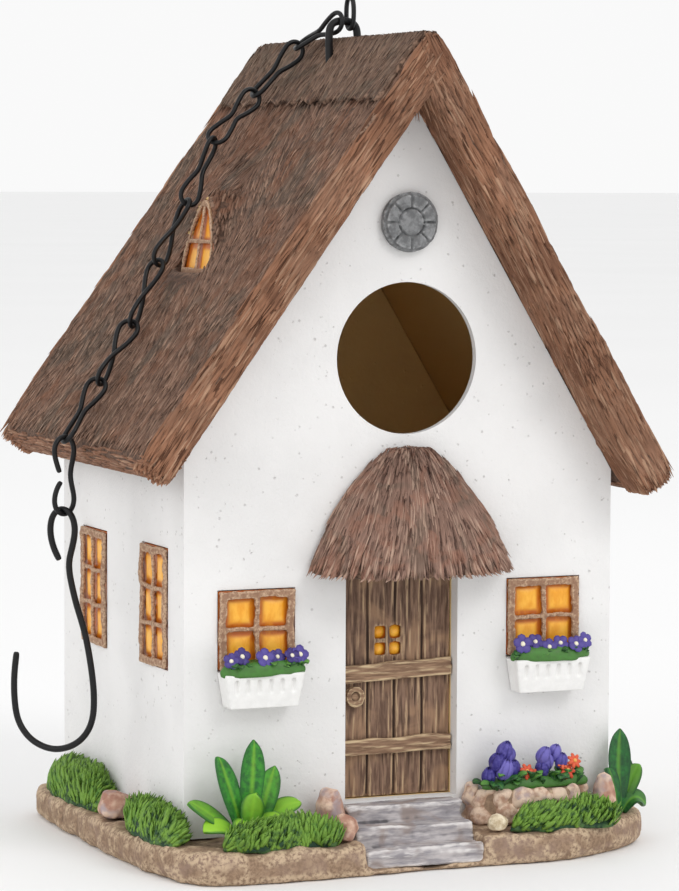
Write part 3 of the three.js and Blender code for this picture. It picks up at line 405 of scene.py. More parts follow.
def petal_paint(name, outer, inner, eye, eye_size=0.3):
    """Petals that pale towards the middle of the flower."""
    recipe = Recipe(name, 0.5, 0.4)
    outer, inner, eye = (paint(*tone) for tone in (outer, inner, eye))
    span = recipe.attribute("span")
    tint = recipe.attribute("tint")
    base = recipe.blend(recipe.spread(tint, 0.1, 0.9), outer, inner)
    base = recipe.blend(recipe.spread(recipe.noise(0.9, 3.0), 0.4, 0.7, 0.0, 0.5), base, inner)
    base = recipe.blend(recipe.spread(span, eye_size, eye_size * 0.55), base, eye)
    recipe.bump(recipe.noise(0.8, 3.0), 0.4, 0.12)
    return recipe.colour(base)


def steel_paint():
    recipe = Recipe("black_steel", 0.42, 0.3)
    fine = recipe.noise(0.7, 3.0)
    recipe.matt(recipe.noise(5, 3.0), 0.34, 0.5)
    recipe.bump(fine, 0.15, 0.04)
    return recipe.colour(recipe.blend(fine, paint(12, 12, 13), paint(22, 22, 24)))


STUCCO = stucco_paint()
AMBER = amber_paint()
STEEL = steel_paint()
THATCH = strand_paint("thatch_brown", (84, 63, 52), (144, 111, 93), (196, 160, 136), [
    ((112, 98, 86), 24, 0.7), ((150, 104, 80), 16, 0.6)])
CANOPY_THATCH = strand_paint("thatch_canopy", (94, 69, 60), (168, 134, 118), (226, 192, 170), [
    ((130, 112, 98), 9, 0.6), ((180, 130, 108), 7, 0.5)])
GABLE_THATCH = strand_paint("thatch_gable", (96, 62, 44), (172, 124, 96), (214, 174, 144), [
    ((136, 94, 72), 15, 0.6), ((176, 136, 112), 12, 0.4)])
RIDGE_THATCH = strand_paint("thatch_ridge", (88, 68, 56), (140, 112, 95), (178, 148, 126), [
    ((116, 100, 86), 18, 0.7)])
THATCH_BED = washed_with_shade_and_highlight("thatch_bed", (70, 52, 42), (108, 82, 68), (140, 112, 94), 1.2, roughness=0.88,
                    crevice=(0.0, 0.3), inside=(232, 196, 132))
EARTH = washed_with_shade_and_highlight("earth_tan", (136, 112, 92), (164, 138, 114), (200, 176, 148), 0.9, roughness=0.9,
               patch=(150, 126, 112), patch_size=12, bump=0.9, crevice=(0.05, 0.4))
TWIG = washed_with_shade_and_highlight("twig_wood", (146, 112, 90), (160, 126, 102), (198, 168, 140), 0.5, roughness=0.8,
              crevice=(0.05, 0.36), edge=(0.5, 0.75))
DOOR_WOOD = washed_with_shade_and_highlight("door_wood", (100, 76, 62), (140, 112, 94), (186, 158, 126), 0.6, (1, 1, 10),
                   roughness=0.78, patch=(156, 124, 98), patch_size=9, crevice=(0.22, 0.5), edge=(0.52, 0.72))
BATTEN_WOOD = washed_with_shade_and_highlight("batten_wood", (122, 94, 74), (160, 130, 104), (208, 184, 148), 0.6, (10, 1, 1),
                     roughness=0.78, crevice=(0.1, 0.42), edge=(0.52, 0.72))
CARVED_GREY = washed_with_shade_and_highlight("carved_grey", (104, 105, 106), (140, 141, 142), (192, 193, 194), 1.6, roughness=0.7)
WHITE_PAINT = washed_with_shade_and_highlight("white_paint", (234, 233, 231), (240, 239, 237), (250, 249, 248), 2.0,
                     roughness=0.55, crevice=(0.05, 0.4), bump=0.15)
STEP_STONE = washed_with_shade_and_highlight("step_stone", (146, 142, 146), (196, 190, 190), (222, 218, 216), 1.2, (6, 2, 1),
                    roughness=0.86, patch=(150, 136, 130), patch_size=8, crevice=(0.0, 0.34))
PINK_STONE = washed_with_shade_and_highlight("pink_stone", (168, 124, 106), (196, 156, 136), (226, 198, 176), 2.6, roughness=0.85,
                    patch=(172, 160, 164), patch_size=6, crevice=(0.0, 0.36))
PLANTER_STONE = washed_with_shade_and_highlight("planter_stone", (176, 140, 118), (204, 172, 146), (226, 202, 180), 2.6,
                       roughness=0.85, patch=(176, 164, 170), patch_size=5, crevice=(0.0, 0.36), tinted=True)
PEBBLE = washed_with_shade_and_highlight("pebble_beige", (178, 158, 126), (216, 200, 168), (238, 226, 200), 2.4, roughness=0.8)
GRASS = washed_with_shade_and_highlight("grass_green", (26, 62, 36), (52, 100, 46), (120, 160, 62), 2.0, roughness=0.6,
               patch=(84, 134, 48), patch_size=9, tinted=True, specular=0.4)
GRASS_BANK = washed_with_shade_and_highlight("grass_bank", (30, 58, 42), (46, 82, 52), (84, 116, 66), 2.0, roughness=0.7,
                    crevice=(0.0, 0.3))
HOSTA = leaf_paint("hosta_green", (26, 92, 32), (60, 146, 42), (150, 204, 52))
CORNER_LEAF = leaf_paint("corner_green", (22, 72, 36), (40, 112, 48), (120, 180, 52))
POSY_LEAF = leaf_paint("posy_green", (24, 66, 30), (44, 104, 42), (96, 150, 60))
PANSY = petal_paint("pansy_purple", (56, 44, 108), (84, 72, 150), (244, 238, 214), 0.3)
TULIP = petal_paint("tulip_lilac", (54, 46, 128), (112, 104, 184), (150, 142, 210), 0.1)
DAISY = petal_paint("daisy_red", (206, 66, 40), (224, 104, 66), (236, 170, 92), 0.32)
RUBBER = washed_with_shade_and_highlight("plug_rubber", (36, 36, 36), (50, 50, 50), (74, 74, 74), 1.5, roughness=0.8)

# ---- growing things over a surface ----------------------------------------------------------


def socket_id(tree, label):
    return next(item.identifier for item in tree.interface.items_tree
                if item.item_type == "SOCKET" and item.in_out == "INPUT" and item.name == label)


def new_tree(name, sockets):
    tree = bpy.data.node_groups.new(name, "GeometryNodeTree")
    tree.interface.new_socket("Geometry", in_out="INPUT", socket_type="NodeSocketGeometry")
    for label, kind in sockets:
        tree.interface.new_socket(label, in_out="INPUT", socket_type=f"NodeSocket{kind}")
    tree.interface.new_socket("Geometry", in_out="OUTPUT", socket_type="NodeSocketGeometry")
    return tree


def named(tree, name, kind="FLOAT"):
    return tree_node(tree, "GeometryNodeInputNamedAttribute", {"Name": name}, data_type=kind).outputs["Attribute"]


def close_tree(tree, instances, seed, material):
    """Gives each copy its own tint, and ends the tree in real faces with a material."""
    tint = tree_node(tree, "FunctionNodeRandomValue", {"Seed": seed}, data_type="FLOAT").outputs[1]
    tinted = tree_node(tree, "GeometryNodeStoreNamedAttribute", {
        "Geometry": instances, "Name": "tint", "Value": tint}, data_type="FLOAT", domain="INSTANCE")
    real = tree_node(tree, "GeometryNodeRealizeInstances", {"Geometry": tinted.outputs[0]})
    painted = tree_node(tree, "GeometryNodeSetMaterial", {"Geometry": real.outputs[0], "Material": material})
    out = tree.nodes.new("NodeGroupOutput")
    tree.links.new(painted.outputs[0], out.inputs[0])
    return tree


def cover_tree():
    """Lays strands all over a surface, combed along its "combing" attribute and thinned by its "cover" attribute."""
    tree = new_tree("strand_cover", [
        ("Strand", "Object"), ("Density", "Float"), ("Shortest", "Float"), ("Longest", "Float"), ("Width", "Float"),
        ("Height", "Float"), ("Stray", "Float"), ("Seed", "Int"), ("Material", "Material")])
    given = tree.nodes.new("NodeGroupInput").outputs
    density = tree_node(tree, "ShaderNodeMath", {0: given["Density"], 1: named(tree, "cover")}, operation="MULTIPLY")
    scatter = tree_node(tree, "GeometryNodeDistributePointsOnFaces", {
        "Mesh": given["Geometry"], "Density": density.outputs[0], "Seed": given["Seed"]}, distribute_method="RANDOM")
    swing = tree_node(tree, "FunctionNodeRandomValue", {
        0: (-1, -1, -1), 1: (1, 1, 1), "Seed": given["Seed"]}, data_type="FLOAT_VECTOR").outputs[0]
    stray = tree_node(tree, "ShaderNodeVectorMath", {0: swing, "Scale": given["Stray"]}, operation="SCALE").outputs[0]
    heading = tree_node(tree, "ShaderNodeVectorMath", {0: named(tree, "combing", "FLOAT_VECTOR"), 1: stray},
                        operation="ADD").outputs[0]
    along = tree_node(tree, "FunctionNodeAlignRotationToVector", {"Vector": heading}, axis="X")
    upright = tree_node(tree, "FunctionNodeAlignRotationToVector", {
        "Rotation": along.outputs[0], "Vector": scatter.outputs["Normal"]}, axis="Z", pivot_axis="X")
    length = tree_node(tree, "FunctionNodeRandomValue", {
        2: given["Shortest"], 3: given["Longest"], "Seed": given["Seed"]}, data_type="FLOAT").outputs[1]
    plump = tree_node(tree, "FunctionNodeRandomValue", {2: 0.7, 3: 1.3, "Seed": 4}, data_type="FLOAT").outputs[1]
    width = tree_node(tree, "ShaderNodeMath", {0: plump, 1: given["Width"]}, operation="MULTIPLY").outputs[0]
    size = tree_node(tree, "ShaderNodeCombineXYZ", {0: length, 1: width, 2: given["Height"]}).outputs[0]
    strand = tree_node(tree, "GeometryNodeObjectInfo", {"Object": given["Strand"]}).outputs["Geometry"]
    placed = tree_node(tree, "GeometryNodeInstanceOnPoints", {
        "Points": scatter.outputs["Points"], "Instance": strand, "Rotation": upright.outputs[0], "Scale": size})
    return close_tree(tree, placed.outputs[0], given["Seed"], given["Material"])


def setting_tree():
    """Sets a copy of one shape at every point, turned by the "facing" and "spin" attributes and sized by "size"."""
    tree = new_tree("set_out", [("Shape", "Object"), ("Seed", "Int"), ("Material", "Material")])
    given = tree.nodes.new("NodeGroupInput").outputs
    spin = tree_node(tree, "ShaderNodeCombineXYZ", {2: named(tree, "spin")}).outputs[0]
    turned = tree_node(tree, "FunctionNodeEulerToRotation", {0: spin}).outputs[0]
    facing = tree_node(tree, "FunctionNodeAlignRotationToVector", {
        "Rotation": turned, "Vector": named(tree, "facing", "FLOAT_VECTOR")}, axis="Z")
    shape = tree_node(tree, "GeometryNodeObjectInfo", {"Object": given["Shape"]}).outputs["Geometry"]
    placed = tree_node(tree, "GeometryNodeInstanceOnPoints", {
        "Points": given["Geometry"], "Instance": shape, "Rotation": facing.outputs[0],
        "Scale": named(tree, "size", "FLOAT_VECTOR")})
    return close_tree(tree, placed.outputs[0], given["Seed"], given["Material"])


COVER = cover_tree()
SET_OUT = setting_tree()


def grown(name, base, tree, **settings):
    """Runs a tree on a mesh and returns what grew as a plain piece."""
    piece = new_piece(name, base)
    modifier = piece.modifiers.new("grow", "NODES")
    modifier.node_group = tree
    for label, value in settings.items():
        modifier[socket_id(tree, label)] = value
    return freeze(piece)


def turn_outwards(mesh):
    skin = bmesh.new()
    skin.from_mesh(mesh)
    bmesh.ops.recalc_face_normals(skin, faces=skin.faces)
    skin.to_mesh(mesh)
    skin.free()


HELPERS = []


def helper_shape(mesh):
    """A shape that pieces are grown from. It is taken away at the end."""
    smooth_all(mesh)
    shape = new_piece(mesh.name, mesh)
    HELPERS.append(shape)
    return shape


class Casting:
    """Gathers closed shapes, with their attributes, into one mesh."""

    def __init__(self):
        self.places, self.faces, self.values = [], [], {}

    def add(self, places, faces, **values):
        first = len(self.places)
        self.places.extend(map(tuple, places))
        self.faces.extend(tuple(first + corner for corner in face) for face in faces)
        for key, value in values.items():
            self.values.setdefault(key, []).extend(np.broadcast_to(value, len(places)))

    def mesh(self, name):
        made = bpy.data.meshes.new(name)
        made.from_pydata([tuple(value * MM for value in place) for place in self.places], [], self.faces)
        for key, value in self.values.items():
            store(made, key, value)
        turn_outwards(made)
        return made


def ring(radius, height, sides):
    """A level circle of places."""
    turns = [2 * math.pi * side / sides for side in range(sides)]
    return [(radius * math.cos(turn), radius * math.sin(turn), height) for turn in turns]


def ring_body(rings):
    """Faces of a closed body made of rings of equal length, with a point at each end."""
    sides = len(rings[1])
    places = [rings[0][0]]
    for ring in rings[1:-1]:
        places.extend(ring)
    places.append(rings[-1][0])
    faces = [(0, 1 + (side + 1) % sides, 1 + side) for side in range(sides)]
    inner = len(rings) - 2
    for step in range(inner - 1):
        first = 1 + step * sides
        for side in range(sides):
            after = (side + 1) % sides
            faces.append((first + side, first + after, first + sides + after, first + sides + side))
    last = len(places) - 1
    first = 1 + (inner - 1) * sides
    faces.extend((last, first + side, first + (side + 1) % sides) for side in range(sides))
    return places, faces


def strand_shape(name, stations, bend=0.0):
    """A tapered sliver one unit long, wide and high; stations are (share of the length, share of the width)."""
    section = [(0.5, 0.0), (0.0, 0.5), (-0.5, 0.0), (0.0, -0.5)]
    rings, spans = [], []
    for share, width in stations:
        sag = -bend * share * share
        rings.append([(share, y * width, z * width + sag) for y, z in section])
        spans.append(share)
    places, faces = ring_body(rings)
    span = [spans[0]] + [value for value in spans[1:-1] for _ in section] + [spans[-1]]
    casting = Casting()
    casting.add(np.array(places) / MM, faces, span=span)
    return helper_shape(casting.mesh(name))


STRAND = strand_shape("strand_shape", [(-0.5, 0), (-0.3, 0.8), (0.1, 1.0), (0.5, 0)])
BLADE = strand_shape("blade_shape", [(-0.05, 0), (0.1, 0.9), (0.45, 1.0), (0.8, 0.6), (1.0, 0)], bend=0.9)

# ---- thatch ---------------------------------------------------------------------------------


def downhill(places):
    """The way down the roof at each place."""
    left = (places[:, 0] < RIDGE_X)[:, None]
    return np.where(left, DOWN_LEFT, DOWN_RIGHT)


def comb_roof(mesh, drift_seed):
    """Stores the way each strand lies: down the slope, wandering a little and parting round the dormer."""
    places = places_of(mesh)
    way = downhill(places).copy()
    way[:, 1] += 0.35 * uneven(places, 24, drift_seed) + 0.2 * uneven(places, 9, drift_seed + 1)
    low, high = box_mm("attic_window_frame")
    middle = (low + high) / 2
    reach = (high[1] - low[1]) / 2
    aside = places[:, 1] - middle[1]
    near = np.exp(-((aside / (1.5 * reach)) ** 2) - ((places[:, 2] - middle[2] - 6) / 22) ** 2)
    near *= places[:, 0] < RIDGE_X
    way[:, 1] += 1.3 * near * np.tanh(aside / 5)
    store(mesh, "combing", way, "FLOAT_VECTOR")


def lay_strands(name, bed, cover, node, material, density, lengths, width, height, stray, seed, trim):
    """Covers part of a bed with strands, which trim then keeps inside the roof's outline.

    Lengths, width and height are millimetres, and density is strands per square millimetre."""
    mesh = bed.data.copy()
    store(mesh, "cover", cover)
    piece = grown(name, mesh, COVER, Strand=STRAND, Density=density / MM ** 2, Shortest=lengths[0] * MM,
                  Longest=lengths[1] * MM, Width=width * MM, Height=height * MM, Stray=stray, Seed=seed,
                  Material=material)
    move_to(piece.data, trim(places_of(piece.data)))
    return finish_piece(piece, material, node, replaces=False, rounds=1, depth=0.12)


def plane_of(places, normals, out):
    """How far the flat of a slope lies from the origin along its outward direction."""
    return np.median((places @ out)[normals @ out > 0.97])


def press_under(places, out, limit):
    """Brings places above a plane nearly down to it."""
    return places - out * (0.85 * np.maximum(places @ out - limit, 0))[:, None]


def press_between(places, axis, low, high):
    """The same for the two ends of a piece along one axis."""
    ends = np.zeros(3)
    ends[axis] = 1
    return press_under(press_under(places, ends, high), -ends, -low)


def window_zone(places, margin):
    """Whether a place is in the dormer's opening or in front of it."""
    low, high = box_mm("attic_window_frame")
    rise = (places[:, 2] - low[2]) / (high[2] - low[2])
    half = (high[1] - low[1]) / 2 * (1 - np.clip(rise, 0, 1) ** 2)
    aside = np.abs(places[:, 1] - (low[1] + high[1]) / 2)
    return (rise > -0.04) & (rise < 1.02) & (aside < half + margin) & (places[:, 0] < high[0] + 5)


def drop_strands(piece, bad):
    """Takes away every strand that has a bad vertex."""
    each = len(STRAND.data.vertices)
    worst = np.repeat(bad.reshape(-1, each).any(axis=1), each)
    skin = bmesh.new()
    skin.from_mesh(piece.data)
    skin.verts.ensure_lookup_table()
    bmesh.ops.delete(skin, geom=[skin.verts[index] for index in np.flatnonzero(worst)], context="VERTS")
    skin.to_mesh(piece.data)
    skin.free()


def make_roof():
    bed, mesh, places, normals = evened_copy("thatch_bed", "thatch_roof", 1.15, 2)
    low, high = box_mm("thatch_roof")
    facing_up = normals[:, 2]
    left_plane = plane_of(places, normals, OUT_LEFT)
    right_plane = plane_of(places, normals, OUT_RIGHT)
    left_end = (places @ DOWN_LEFT).max()
    right_end = (places @ DOWN_RIGHT).max()
    swell = 0.45 * uneven(places, 13, 1) + 0.3 * uneven(places, 5, 2)
    outer = ramp(facing_up, -0.2, 0.3) + ramp(-normals[:, 1], 0.5, 0.8)
    places += normals * (swell * np.clip(outer, 0, 1))[:, None]
    move_to(mesh, places)
    comb_roof(mesh, 5)
    front = places[:, 1] < low[1] + GABLE_DEPTH
    gable = front * ramp(-normals[:, 1], 0.3, 0.6)
    back_gable = (places[:, 1] > high[1] - GABLE_DEPTH) * ramp(normals[:, 1], 0.3, 0.6)
    wall_low, wall_high = box_mm("house_walls")
    overhang = (places[:, 1] < wall_low[1] - 1) | (places[:, 1] > wall_high[1] + 1)
    soffit = ramp(-facing_up, 0.2, 0.4) * overhang * (np.abs(normals[:, 1]) < 0.5)
    top = ramp(facing_up, 0.25, 0.4) * (1 - gable) * (1 - back_gable) * ~window_zone(places, 0.5)
    left = places[:, 0] < RIDGE_X
    lower = places[:, 2] < (low[2] + high[2]) / 2

    def within(points):
        points = press_under(press_under(points, DOWN_LEFT, left_end + 0.2), DOWN_RIGHT, right_end + 0.2)
        return press_between(press_between(points, 1, low[1] - 0.4, high[1] + 0.4), 2, low[2] - 0.3, high[2] - 0.2)

    def on_left(points):
        return within(press_under(points, OUT_RIGHT, right_plane + 0.3))

    def on_right(points):
        return within(press_under(points, OUT_LEFT, left_plane + 0.3))

    def on_gable(points):
        return on_left(press_under(points, OUT_LEFT, left_plane + 0.3))

    slope = {"density": 1.0, "lengths": (3, 7), "width": 0.95, "height": 0.3, "stray": 0.08}
    for name, part, seed, trim in (("left_upper", left & ~lower, 3, on_left), ("left_lower", left & lower, 4, on_left),
                                   ("right_upper", ~left & ~lower, 5, on_right),
                                   ("right_lower", ~left & lower, 6, on_right)):
        strands = lay_strands(f"thatch_{name}", bed, top * part, "thatch_roof", THATCH, seed=seed, trim=trim, **slope)
        drop_strands(strands, window_zone(places_of(strands.data), -0.4))
    rake = {"density": 0.75, "lengths": (7, 16), "width": 0.95, "height": 0.95, "stray": 0.07, "trim": on_gable}
    lay_strands("thatch_gable_front", bed, gable, "thatch_roof", GABLE_THATCH, seed=7, **rake)
    lay_strands("thatch_gable_back", bed, back_gable, "thatch_roof", GABLE_THATCH, seed=8, **rake)
    lay_strands("thatch_soffit", bed, soffit, "thatch_roof", GABLE_THATCH, seed=9, **rake)
    eave = ramp(-facing_up, 0.1, 0.3) * (np.abs(places[:, 0]) > 61) * (np.abs(normals[:, 1]) < 0.5)
    eave_bed = bpy.data.objects.new("eave_bed", bed.data.copy())
    store(eave_bed.data, "combing", np.tile([0.0, 1.0, 0.0], (len(places), 1)), "FLOAT_VECTOR")
    lay_strands("thatch_eaves", eave_bed, eave, "thatch_roof", GABLE_THATCH, density=0.7, lengths=(5, 11), width=0.8,
                height=0.4, stray=0.04, seed=10, trim=within)
    under = (facing_up < -0.3) & (places[:, 1] > wall_low[1] + 2) & (places[:, 1] < wall_high[1] - 2)
    store(bed.data, "inside", (under & (np.abs(places[:, 0]) < wall_high[0] - 4)).astype(float))
    finish_piece(bed, THATCH_BED, "thatch_roof", depth=0.5)


def make_ridge():
    """The ridge roll: long combed strands over a smooth bed with a scalloped lower edge."""
    bed = fine_copy("ridge_bed", "ridge_cap", 0.7)
    mesh = bed.data
    places = averaged(mesh, places_of(mesh), 1)
    low, high = box_mm("ridge_cap")
    drop = places[:, 2] - low[2]
    scallop = 1.6 * np.abs(np.sin(places[:, 1] * math.pi / 11)) * ramp(drop, 6, 0)
    places -= downhill(places) * scallop[:, None]
    move_to(mesh, places)
    places += normals_of(mesh) * (0.3 * uneven(places, (4, 1.1, 4), 4))[:, None]
    move_to(mesh, places)
    comb_roof(mesh, 9)
    normals = normals_of(mesh)
    outside = ramp(normals[:, 2], 0.2, 0.4) * ramp(places[:, 2], low[2] + 2, low[2] + 5)
    left_plane = plane_of(places, normals, OUT_LEFT)
    right_plane = plane_of(places, normals, OUT_RIGHT)
    left = places[:, 0] < RIDGE_X
    for side, part, out, plane in (("left", left, OUT_RIGHT, right_plane), ("right", ~left, OUT_LEFT, left_plane)):
        def trim(points, out=out, plane=plane):
            points = press_between(press_under(points, out, plane + 0.1), 1, low[1] - 0.3, high[1] + 0.3)
            return press_under(points, np.array([0, 0, 1.0]), high[2] - 0.2)
        lay_strands(f"ridge_{side}", bed, outside * part, "ridge_cap", RIDGE_THATCH, density=0.9, lengths=(3, 6),
                    width=0.9, height=0.25, stray=0.04, seed=12, trim=trim)
    finish_piece(bed, THATCH_BED, "ridge_cap", depth=0.3)


def make_canopy():
    bed = fine_copy("canopy_bed", "porch_canopy", 0.7)
    mesh = bed.data
    places = averaged(mesh, places_of(mesh), 2)
    low, high = box_mm("porch_canopy")
    crown = np.array([(low[0] + high[0]) / 2, high[1] + 2, high[2] + 4])
    out = places - crown
    out[:, 1] *= 0.7
    way = out / np.linalg.norm(out, axis=1)[:, None]
    way[:, 2] -= 0.35
    way[:, 0] += 0.16 * uneven(places, 8, 3)
    move_to(mesh, places + normals_of(mesh) * (0.35 * uneven(places, 4, 6))[:, None])
    store(mesh, "combing", way, "FLOAT_VECTOR")
    normals = normals_of(mesh)
    cover = ramp(-normals[:, 1] + 0.6 * normals[:, 2], 0.0, 0.3) * ramp(normals[:, 2], -0.6, -0.2)

    def trim(points):
        return press_between(press_between(points, 1, low[1] - 1, high[1]), 2, low[2] - 0.2, high[2])

    lay_strands("canopy_strands", bed, cover, "porch_canopy", CANOPY_THATCH, density=1.2, lengths=(5, 11),
                width=0.95, height=0.8, stray=0.08, seed=21, trim=trim)
    finish_piece(bed, THATCH_BED, "porch_canopy", depth=0.35)


# ---- masonry, wood and earth ----------------------------------------------------------------


def rounded_copy(name, node, radius):
    """A copy of a CAD node with its sharp edges eased."""
    piece = merged_copy(name, node)
    bevel = piece.modifiers.new("ease", "BEVEL")
    bevel.width = radius * MM
    bevel.segments = 2
    bevel.limit_method = "ANGLE"
    bevel.angle_limit = math.radians(25)
    return freeze(piece)


def sharpen(mesh, degrees):
    """Smooth shading that stops at edges sharper than this."""
    skin = bmesh.new()
    skin.from_mesh(mesh)
    for edge in skin.edges:
        edge.smooth = len(edge.link_faces) == 2 and edge.calc_face_angle(0) < math.radians(degrees)
    skin.to_mesh(mesh)
    skin.free()


def make_walls():
    walls = merged_copy("stucco_walls", "house_walls")
    sharpen(walls.data, 30)
    finish_piece(walls, STUCCO, "house_walls", depth=0)


def worked(name, node, net, material, lumps, rounds=1, relief=0.25, keep_below=None):
    """A fine copy pushed in and out by a list of (size, depth) unevennesses."""
    piece = fine_copy(name, node, net)
    mesh = piece.data
    places = averaged(mesh, places_of(mesh), rounds)
    move_to(mesh, places)
    normals = normals_of(mesh)
    push = sum(depth * uneven(places, size, 10 + index) for index, (size, depth) in enumerate(lumps))
    if keep_below is not None:
        push = push * ramp(places[:, 2], keep_below, keep_below + 0.8)
    places = places + normals * push[:, None]
    if keep_below is not None:
        places[:, 2] = np.maximum(places[:, 2], keep_below)
    move_to(mesh, places)
    return finish_piece(piece, material, node, depth=relief)


def make_ground():
    worked("earth_base", "base_plinth", 1.1, EARTH, [(8, 0.5), (3, 0.45), (1.6, 0.25)], 3, 0.4, keep_below=0.0)
    worked("worn_steps", "stepping_stones", 0.55, STEP_STONE, [((14, 4, 3), 0.35), ((10, 1.4, 1.1), 0.5), (1.2, 0.12)],
           2, 0.3)
    for name, net in (("rock_left", 0.45), ("rock_step_upper", 0.5), ("rock_step_lower", 0.4), ("rock_right", 0.5)):
        worked(f"{name}_face", name, net, PINK_STONE, [(4, 0.5), (1.6, 0.25)], 6, 0.2)
    worked("pebble_face", "pebble", 0.35, PEBBLE, [(3, 0.2), (1.2, 0.08)], 10, 0.12)


def make_door():
    planks, mesh, places, normals = evened_copy("door_planks", "door_leaf", 0.3, 1)
    grain = 0.2 * uneven(places, (0.8, 3, 9), 3) + 0.1 * uneven(places, (0.4, 3, 5), 4)
    warp = 0.22 * uneven(places, (7, 9, 14), 5)
    places += normals * (grain * ramp(-normals[:, 1], 0.2, 0.8))[:, None]
    places[:, 0] += warp
    move_to(mesh, places)
    finish_piece(planks, DOOR_WOOD, "door_leaf", depth=0.22)
    for name, tilt in (("upper_batten", 0.035), ("lower_batten", 0.02)):
        batten, mesh, places, normals = evened_copy(f"{name}_board", name, 0.28, 3)
        places[:, 2] += tilt * places[:, 0] + 0.35 * uneven(places, (7, 9, 30), 7)
        places += normals * (0.25 * uneven(places, (7, 3, 0.7), 8) + 0.1 * uneven(places, (3, 2, 0.4), 9))[:, None]
        move_to(mesh, places)
        finish_piece(batten, BATTEN_WOOD, name, depth=0.2)
    worked("knob_ring", "door_knob", 0.2, BATTEN_WOOD, [(1.6, 0.2), (0.8, 0.12)], 2, 0.15)


def make_windows():
    for side in ("front_left", "front_right", "left_front", "left_rear", "right_front", "right_rear"):
        node = f"{side}_window_frame"
        twigs, mesh, places, normals = evened_copy(f"{side}_twigs", node, 0.32, 2)
        wander = np.stack([uneven(places, 6, seed + len(side)) for seed in (1, 2, 3)], axis=1)
        grain = 0.16 * uneven(places, 1.1, 4) + 0.1 * uneven(places, 0.6, 5)
        move_to(mesh, places + 0.32 * wander + normals * grain[:, None])
        finish_piece(twigs, TWIG, node, depth=0.2)
        low, high = box_mm(f"{side}_window_panes")
        axis = 1 if side.startswith("front") else 0
        across = 1 - axis
        rows = 2 if axis == 1 else 3
        panes, mesh, places, normals = evened_copy(f"{side}_glass", f"{side}_window_panes", 0.4, 0)
        shade = np.full(len(places), 9.0)
        for place, count, start, end in ((places[:, across], 2, low[across], high[across]),
                                         (places[:, 2], rows, low[2], high[2])):
            for line in np.linspace(start + 1, end - 1, count + 1):
                shade = np.minimum(shade, np.abs(place - line))
        outwards = -1 if side.startswith(("front", "left")) else 1
        edge = ramp(shade, 0.5, 3.2)
        face = normals[:, axis] * outwards > 0.5
        places[:, axis] += outwards * face * (0.55 * edge + 0.12 * uneven(places, 2.5, 3))
        store(mesh, "shade", edge)
        move_to(mesh, places)
        finish_piece(panes, AMBER, f"{side}_window_panes", depth=0)
    make_attic_window()
    light, mesh, places, normals = evened_copy("door_glass", "door_light", 0.2, 0)
    low, high = box_mm("door_light")
    middle = (low + high) / 2
    off = np.hypot(np.abs(np.abs(places[:, 0] - middle[0]) - 2.2), np.abs(np.abs(places[:, 2] - middle[2]) - 2.2))
    face = normals[:, 1] < -0.5
    places[:, 1] -= face * 0.9 * ramp(off, 1.9, 0.2)
    store(mesh, "shade", ramp(off, 2.2, 0.6))
    move_to(mesh, places)
    finish_piece(light, AMBER, "door_light", depth=0)


def make_attic_window():
    twigs, mesh, places, normals = evened_copy("attic_twigs", "attic_window_frame", 0.32, 1)
    grain = 0.15 * uneven(places, 3, 4) + 0.1 * uneven(places, 0.9, 5)
    move_to(mesh, places + normals * grain[:, None])
    finish_piece(twigs, TWIG, "attic_window_frame", depth=0.2)
    low, high = box_mm("attic_window_panes")
    panes = fine_copy("attic_glass", "attic_window_panes", 0.4)
    mesh = panes.data
    places = places_of(mesh)
    middle = (low[1] + high[1]) / 2
    bar = low[2] + 0.44 * (high[2] - low[2])
    half = (high[1] - low[1]) / 2
    outline = half * (1 - ((places[:, 2] - low[2]) / (high[2] - low[2])) ** 2) - np.abs(places[:, 1] - middle)
    shade = np.minimum(np.minimum(np.abs(places[:, 1] - middle), np.abs(places[:, 2] - bar)), outline - 1.5)
    store(mesh, "shade", ramp(shade, 0.4, 3))
    move_to(mesh, places)
    finish_piece(panes, AMBER, "attic_window_panes", depth=0)


def make_boxes():
    for side in ("left", "right"):
        worked(f"white_box_{side}", f"flower_box_{side}", 0.3, WHITE_PAINT, [(8, 0.06)], 1, 0.6)


# ---- plants ---------------------------------------------------------------------------------


